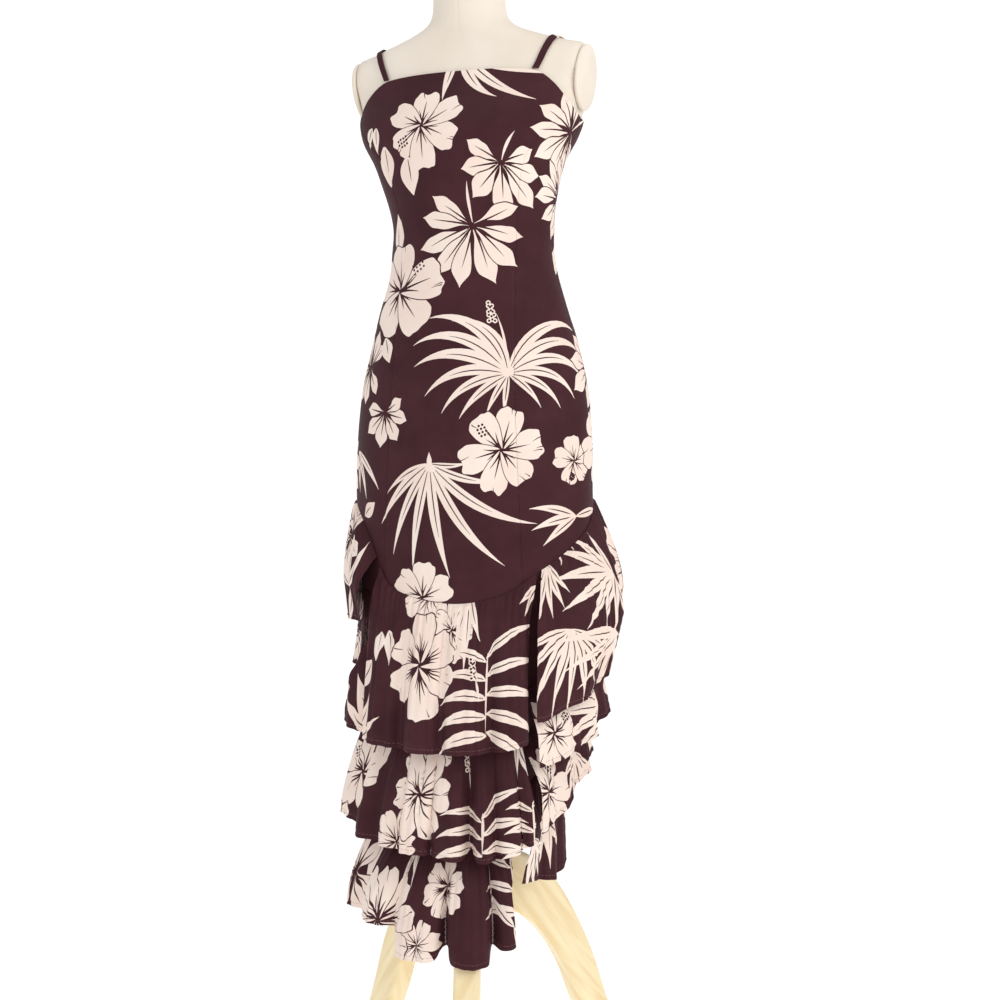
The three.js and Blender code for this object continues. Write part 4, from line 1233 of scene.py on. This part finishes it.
def makeStrap(label, sign):
    paths = [strapPath(sign * k * strap["width"] / 2) for k in (-1, 1)]
    lengths = [runOf(path) for path in paths]
    whole = (lengths[0][-1] + lengths[1][-1]) / 2
    samples = np.linspace(0, 1, 161)
    lines = []
    for path, length in zip(paths, lengths):
        share = length / length[-1]
        line = np.stack([np.interp(samples, share, path[:, k]) for k in range(3)], 1)
        for step in range(3):
            line[1:-1] = (line[:-2] + 2 * line[1:-1] + line[2:]) / 4
        lines.append(line)

    def alongLine(line, share):
        share = np.clip(share, 0, 1)
        return np.stack([np.interp(share, samples, line[:, k]) for k in range(3)], 1)

    def place(across, down):
        return (across - 0.5) * 2 * strap["width"], (1 - down) * whole

    def surface(s, v):
        # the cut is folded round into a flat tube, sewn together underneath
        share = np.clip(v / whole, 0, 1)
        folded = np.clip(s / strap["width"], -0.998, 0.998) * np.pi
        sideways = strap["width"] / 2 * signedPower(np.sin(folded), 0.45)
        height = strap["crown"] / 2 * (1 + signedPower(np.cos(folded), 0.6))
        side = (sideways / strap["width"] + 0.5)[:, None]
        sides = []
        for line in lines:
            at, ahead, behind = (alongLine(line, share + step) for step in (0, 0.01, -0.01))
            tangent = (ahead - behind)[:, :2]
            tangent /= np.linalg.norm(tangent, axis=1)[:, None]
            sides.append((at, tangent))
        at = mix(sides[0][0], sides[1][0], side)
        tangent = mix(sides[0][1], sides[1][1], side)
        lift = mix(strap["ease"], strap["rest"], np.sin(share * np.pi) ** 0.5) + height
        middle = (sides[0][0][:, 2] + sides[1][0][:, 2]) / 2
        return np.stack([sign * middle + sideways, at[:, 0] - tangent[:, 1] * lift,
                         at[:, 1] + tangent[:, 0] * lift], 1)

    node = "strap_" + label.lower()
    piece, edge, area = makeCloth("strap" + label, node, place, surface, 32,
                                  list(np.linspace(0, 1, 110)), printShapes(stripPrint[node]),
                                  spacing=3.0, thick=0.4)
    finishSheet(piece)


for label, sign in (("Left", 1), ("Right", -1)):
    makeStrap(label, sign)
print("stage: straps made")

# the dress form: flat, where its sides end in the arm plates; lean, their tilt
form = {"bottom": 832, "top": 1580, "inset": -4.2, "flat": 162.5, "columns": 180, "round": 7,
        "plateRise": 46, "plateReach": 48, "plateThick": 6, "plateHeight": 1413, "plateY": 3,
        "lean": 7, "flatLow": 1340}


# the swell to the arm plates: clear and fade above the dress's edge, beside the
# straps between two heights, and round the plate as shares of its size
pad = {"clear": 8, "fade": 18, "inner": 0.9, "soft": 0.5, "under": 0.5, "strapClear": 2,
       "strapFade": 12, "strapLow": 1376, "strapHigh": 1465}


def shoulderPad(ring, angles, z):
    # the form swells out to the arm plates' flat sides above the dress's upper
    # edge, but not on top of the shoulder, where the straps lie
    if z < form["flatLow"]:
        return ring
    flat = form["flat"] + (z - form["plateHeight"]) * math.tan(math.radians(form["lean"]))
    side = np.abs(ring[:, 0])
    away = np.hypot((ring[:, 1] - form["plateY"]) / form["plateReach"],
                    (z - form["plateHeight"]) / form["plateRise"])
    bare = rise((z - smoothAt(topEdge, np.abs(angles)) - pad["clear"]) / pad["fade"])
    strapRun = pad["strapHigh"] - pad["strapLow"]
    strapAt = (strap["x"] + strap["width"] / 2
               + (strap["topX"] - strap["x"]) * (z - pad["strapLow"]) / strapRun)
    offStraps = rise((side - strapAt - pad["strapClear"]) / pad["strapFade"])
    share = (1 - rise((away - pad["inner"]) / pad["soft"])) * bare * offStraps
    target = np.where(side > flat, flat, mix(side, flat - pad["under"], share))
    ring[:, 0] = np.sign(ring[:, 0]) * target
    return ring


def makeTorso():
    levels = list(np.arange(form["bottom"] + form["round"], form["top"] - form["round"] + 0.1, 5.5))
    angles = np.arange(form["columns"]) * 360 / form["columns"] - 180
    rings = []
    for z in levels:
        ring = bodyPoint(angles, np.full(len(angles), z), form["inset"])
        rings.append(shoulderPad(ring, angles, z))

    def shrunk(ring, inset, z):
        middle = np.array([0, ring[:, 1].mean(), 0])
        reach = ring - middle
        size = np.linalg.norm(reach[:, :2], axis=1)
        new = middle + reach * ((size - inset) / size)[:, None]
        new[:, 2] = z
        return new

    lowRing, topRing = rings[0], rings[-1]
    turns = np.radians([22, 45, 68, 90])
    for t in turns:
        r = form["round"]
        inward, beyond = r * (1 - math.cos(t)), r * (1 - math.sin(t))
        rings.insert(0, shrunk(lowRing, inward, form["bottom"] + beyond))
        rings.append(shrunk(topRing, inward, form["top"] - beyond))
    for share in (0.66, 0.33, 0.08):
        for at, z in ((0, form["bottom"]), (-1, form["top"])):
            ring = rings[at]
            middle = np.array([0, ring[:, 1].mean(), z])
            new = middle + (ring - middle) * share
            if at == 0:
                rings.insert(0, new)
            else:
                rings.append(new)
    count = form["columns"]
    points = np.concatenate(rings)
    # the cover is sewn at centre front, centre back and under the arms
    angle = np.tile(angles, len(rings))
    for seam in (0, -180, 90, -90):
        off = np.abs(angle - seam) * 2.2
        outward = points * np.array([1, 1, 0])
        outward /= np.linalg.norm(outward, axis=1)[:, None] + 1e-9
        points = points - outward * (0.9 * bell(off, 1.6))[:, None]
    faces = []
    for j in range(len(rings) - 1):
        for i in range(count):
            k = (i + 1) % count
            faces.append((j * count + i, j * count + k, (j + 1) * count + k, (j + 1) * count + i))
    faces.append(tuple(range(count))[::-1])
    faces.append(tuple((len(rings) - 1) * count + i for i in range(count)))
    mesh = bpy.data.meshes.new("formTorso")
    mesh.from_pydata((points * metre + np.array([axisX, axisY, 0])).tolist(), [], faces)
    mesh.materials.append(jersey)
    mesh.polygons.foreach_set("use_smooth", np.ones(len(mesh.polygons), bool))
    piece = inScene("formTorso", mesh)
    finishRigid(piece, "form_torso")


def finishRigid(piece, node):
    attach(piece, "root")
    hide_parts(node)


def rounded(piece, width, segments, angle):
    # bevels the edges that are sharper than the angle
    bpy.context.view_layer.objects.active = piece
    modifier = piece.modifiers.new("bevel", "BEVEL")
    modifier.width = width * metre
    modifier.segments = segments
    modifier.limit_method = "ANGLE"
    modifier.angle_limit = math.radians(angle)
    bpy.ops.object.modifier_apply(modifier=modifier.name)


def settle(piece):
    # leave the object at the origin, its place in its mesh
    bpy.ops.object.select_all(action="DESELECT")
    piece.select_set(True)
    bpy.context.view_layer.objects.active = piece
    bpy.ops.object.transform_apply(location=True, rotation=True, scale=True)
    piece.select_set(False)


def inPlace(x, y, z):
    return (axisX + x * metre, axisY + y * metre, z * metre)


def makePlate(label, sign):
    bpy.ops.object.select_all(action="DESELECT")
    middle = form["flat"] + 0.3 + form["plateThick"] / 2
    at = inPlace(sign * middle, form["plateY"], form["plateHeight"])
    bpy.ops.mesh.primitive_cylinder_add(vertices=96, radius=1, depth=form["plateThick"] * metre,
                                        location=at, rotation=(0, math.radians(90), 0))
    plate = bpy.context.object
    plate.name = "armPlate" + label
    plate.scale = (form["plateRise"] * metre, form["plateReach"] * metre, 1)
    settle(plate)
    hinge = Matrix.Translation(inPlace(sign * form["flat"], form["plateY"], form["plateHeight"]))
    lean = Matrix.Rotation(math.radians(sign * form["lean"]), 4, "Y")
    plate.data.transform(hinge @ lean @ hinge.inverted())
    bpy.context.view_layer.objects.active = plate
    bpy.ops.object.mode_set(mode="EDIT")
    bpy.ops.mesh.select_all(action="DESELECT")
    bpy.ops.object.mode_set(mode="OBJECT")
    for polygon in plate.data.polygons:
        polygon.select = polygon.normal.x * sign > 0.9 and len(polygon.vertices) > 8
    bpy.ops.object.mode_set(mode="EDIT")
    for width, raised in ((4, 0.0), (12, 1.1), (14, 0.7)):
        bpy.ops.mesh.inset(thickness=width * metre, depth=raised * metre)
    bpy.ops.object.mode_set(mode="OBJECT")
    rounded(plate, 2.9, 5, 50)
    bpy.ops.object.shade_smooth_by_angle(angle=math.radians(40))
    plate.data.materials.clear()
    plate.data.materials.append(jersey)
    finishRigid(plate, "form_arm_plate_" + label.lower())


makeTorso()
for label, sign in (("Left", 1), ("Right", -1)):
    makePlate(label, sign)
print("stage: form made")

# pole and tripod; a leg's two edges are places (distance from the axis, height)
stand = {"collarRadius": 42, "collarHeight": 20, "poleRadius": 12.5, "poleBottom": 322,
         "hubRadius": 30, "hubHeight": 100, "legThick": 35, "legAngles": (16, 132, -119),
         "stations": 26, "edge": 6}
legOuter = [(30.3, 318), (60, 320), (92, 305), (120, 278), (152, 229), (184, 162), (208, 92),
            (228, 46), (262, 15), (268, 0)]
legInner = [(30.3, 238), (66, 228), (104, 196), (136, 148), (156, 98), (172, 62), (190, 24),
            (212, 0)]


def grainMap(piece, along, across):
    # lays the wood's grain: along and across turn a place into metres on the board
    layer = piece.data.uv_layers.get("grain") or piece.data.uv_layers.new(name="grain")
    for loop in piece.data.loops:
        place = piece.data.vertices[loop.vertex_index].co
        layer.data[loop.index].uv = (along(place), across(place))


def turnedPiece(name, node, radius, low, high, grooves):
    # a round piece from the lathe: a cylinder with a narrow groove at some heights
    bpy.ops.object.select_all(action="DESELECT")
    at = inPlace(0, 0, (low + high) / 2)
    bpy.ops.mesh.primitive_cylinder_add(vertices=72, radius=radius * metre,
                                        depth=(high - low) * metre, location=at)
    piece = bpy.context.object
    piece.name = name
    settle(piece)
    bpy.context.view_layer.objects.active = piece
    for height, depth in grooves:
        for off in (-2.2, 0, 2.2):
            bpy.ops.object.mode_set(mode="EDIT")
            bpy.ops.mesh.select_all(action="SELECT")
            bpy.ops.mesh.bisect(plane_co=(0, 0, (height + off) * metre), plane_no=(0, 0, 1))
            bpy.ops.object.mode_set(mode="OBJECT")
        for vertex in piece.data.vertices:
            if abs(vertex.co.z / metre - height) < 0.5:
                vertex.co.x = axisX + (vertex.co.x - axisX) * (1 - depth / radius)
                vertex.co.y = axisY + (vertex.co.y - axisY) * (1 - depth / radius)
    rounded(piece, 2.0, 3, 60)
    bpy.ops.object.shade_smooth_by_angle(angle=math.radians(40))
    grainMap(piece, lambda p: p.z,
             lambda p: (math.atan2(p.y - axisY, p.x - axisX)) * radius * metre * 0.5)
    piece.data.materials.clear()
    piece.data.materials.append(pine)
    finishRigid(piece, node)


def stationsOf(outline, count):
    # smooth, evenly spaced places along a leg's edge
    places = np.array(outline, float)
    chord = runOf(places)
    at = np.linspace(0, chord[-1], count)
    return np.stack([smoothAt((chord, places[:, k]), at) for k in (0, 1)], 1)


def makeLeg(number, angle):
    outer = stationsOf(legOuter, stand["stations"])
    inner = stationsOf(legInner, stand["stations"])
    half = stand["legThick"] / 2 * metre
    bpy.ops.object.select_all(action="DESELECT")
    bpy.ops.mesh.primitive_plane_add(size=1, location=(0, 0, 0))
    leg = bpy.context.object
    leg.name = "standLeg%d" % number
    settle(leg)
    ends = [(outer[0], half), (outer[0], -half), (inner[0], -half), (inner[0], half)]
    order = sorted(leg.data.vertices, key=lambda v: math.atan2(v.co.y, v.co.x))
    for vertex, (at, side) in zip(order, ends):
        vertex.co = (side, -at[0] * metre, at[1] * metre)
    # the board is drawn out from the hub one station at a time
    for k in range(1, stand["stations"]):
        bpy.ops.object.mode_set(mode="EDIT")
        bpy.ops.mesh.select_all(action="DESELECT")
        bpy.ops.object.mode_set(mode="OBJECT")
        leg.data.polygons[len(leg.data.polygons) - 1].select = k == 1
        for polygon in leg.data.polygons:
            corners = [leg.data.vertices[v].co for v in polygon.vertices]
            polygon.select = all(any((c.yz - Vector((-p[0], p[1])) * metre).length < 1e-6
                                     for p in (outer[k - 1], inner[k - 1])) for c in corners)
        bpy.ops.object.mode_set(mode="EDIT")
        bpy.ops.mesh.select_mode(type="FACE")
        bpy.ops.mesh.extrude_region_move(TRANSFORM_OT_translate={"value": (0, 0.00001, 0)})
        bpy.ops.object.mode_set(mode="OBJECT")
        for vertex in leg.data.vertices:
            if vertex.select:
                toOuter, toInner = ((vertex.co.yz - Vector((-p[0], p[1])) * metre).length
                                    for p in (outer[k - 1], inner[k - 1]))
                at = outer[k] if toOuter < toInner else inner[k]
                vertex.co = (vertex.co.x, -at[0] * metre, at[1] * metre)
    bpy.context.view_layer.objects.active = leg
    bpy.ops.object.mode_set(mode="EDIT")
    bpy.ops.mesh.select_all(action="SELECT")
    bpy.ops.mesh.normals_make_consistent(inside=False)
    bpy.ops.object.mode_set(mode="OBJECT")
    rounded(leg, stand["edge"], 4, 50)
    bpy.ops.object.shade_smooth_by_angle(angle=math.radians(50))
    grainMap(leg, lambda p: (0.62 * p.y + 0.78 * p.z) * -1,
             lambda p: 0.78 * p.y - 0.62 * p.z + 0.6 * p.x + number)
    turn = Matrix.Rotation(math.radians(angle), 4, "Z")
    leg.data.transform(Matrix.Translation((axisX, axisY, 0)) @ turn)
    leg.data.materials.clear()
    leg.data.materials.append(pine)
    finishRigid(leg, "stand_leg_%d" % number)


collarTop = form["bottom"] - 0.3
turnedPiece("standCollar", "stand_collar", stand["collarRadius"], collarTop - stand["collarHeight"],
            collarTop, [(collarTop - 10, 1.2)])
turnedPiece("standPole", "stand_pole", stand["poleRadius"], stand["poleBottom"] + 0.3,
            collarTop - stand["collarHeight"] - 0.3, [(345, 1.0), (795, 1.0)])
turnedPiece("standHub", "stand_hub", stand["hubRadius"], stand["poleBottom"] - stand["hubHeight"],
            stand["poleBottom"], [(236, 1.5), (308, 1.5)])
for number, angle in enumerate(stand["legAngles"], 1):
    makeLeg(number, angle)
print("stage: stand made")

# floor and backdrop, in metres; the wall is further off than a camera that goes round the object
sweep = {"near": 7.0, "far": 6.5, "wide": 16.0, "high": 7.0, "bend": 1.6}


def makeSweep():
    # a pale floor that curves up into a plain wall behind
    turn = math.radians(view["azimuth"])
    profile = [(-sweep["near"], 0.0), (0.0, 0.0), (sweep["far"] - sweep["bend"], 0.0)]
    for k in range(1, 17):
        t = math.pi / 2 * k / 16
        profile.append((sweep["far"] - sweep["bend"] + sweep["bend"] * math.sin(t),
                        sweep["bend"] * (1 - math.cos(t))))
    profile.append((sweep["far"], sweep["high"]))
    points = []
    for x in (-sweep["wide"] / 2, sweep["wide"] / 2):
        for away, z in profile:
            points.append((axisX + x * math.cos(turn) - away * math.sin(turn),
                           axisY + x * math.sin(turn) + away * math.cos(turn), z - 0.0005))
    count = len(profile)
    faces = [(k, count + k, count + k + 1, k + 1) for k in range(count - 1)]
    mesh = bpy.data.meshes.new("paleSweep")
    mesh.from_pydata(points, [], faces)
    mesh.polygons.foreach_set("use_smooth", np.ones(len(mesh.polygons), bool))
    material, tree, shader = newMaterial("palePaper", {
        "Base Color": toLinear("#f6f6f6"), "Roughness": 0.9, "Emission Color": toLinear("#ffffff"),
        "Emission Strength": 0.38})
    mesh.materials.append(material)
    floor = inScene("paleSweep", mesh)


makeSweep()
print("stage: everything in place")
for name, count in tally:
    print("  ", name, count)
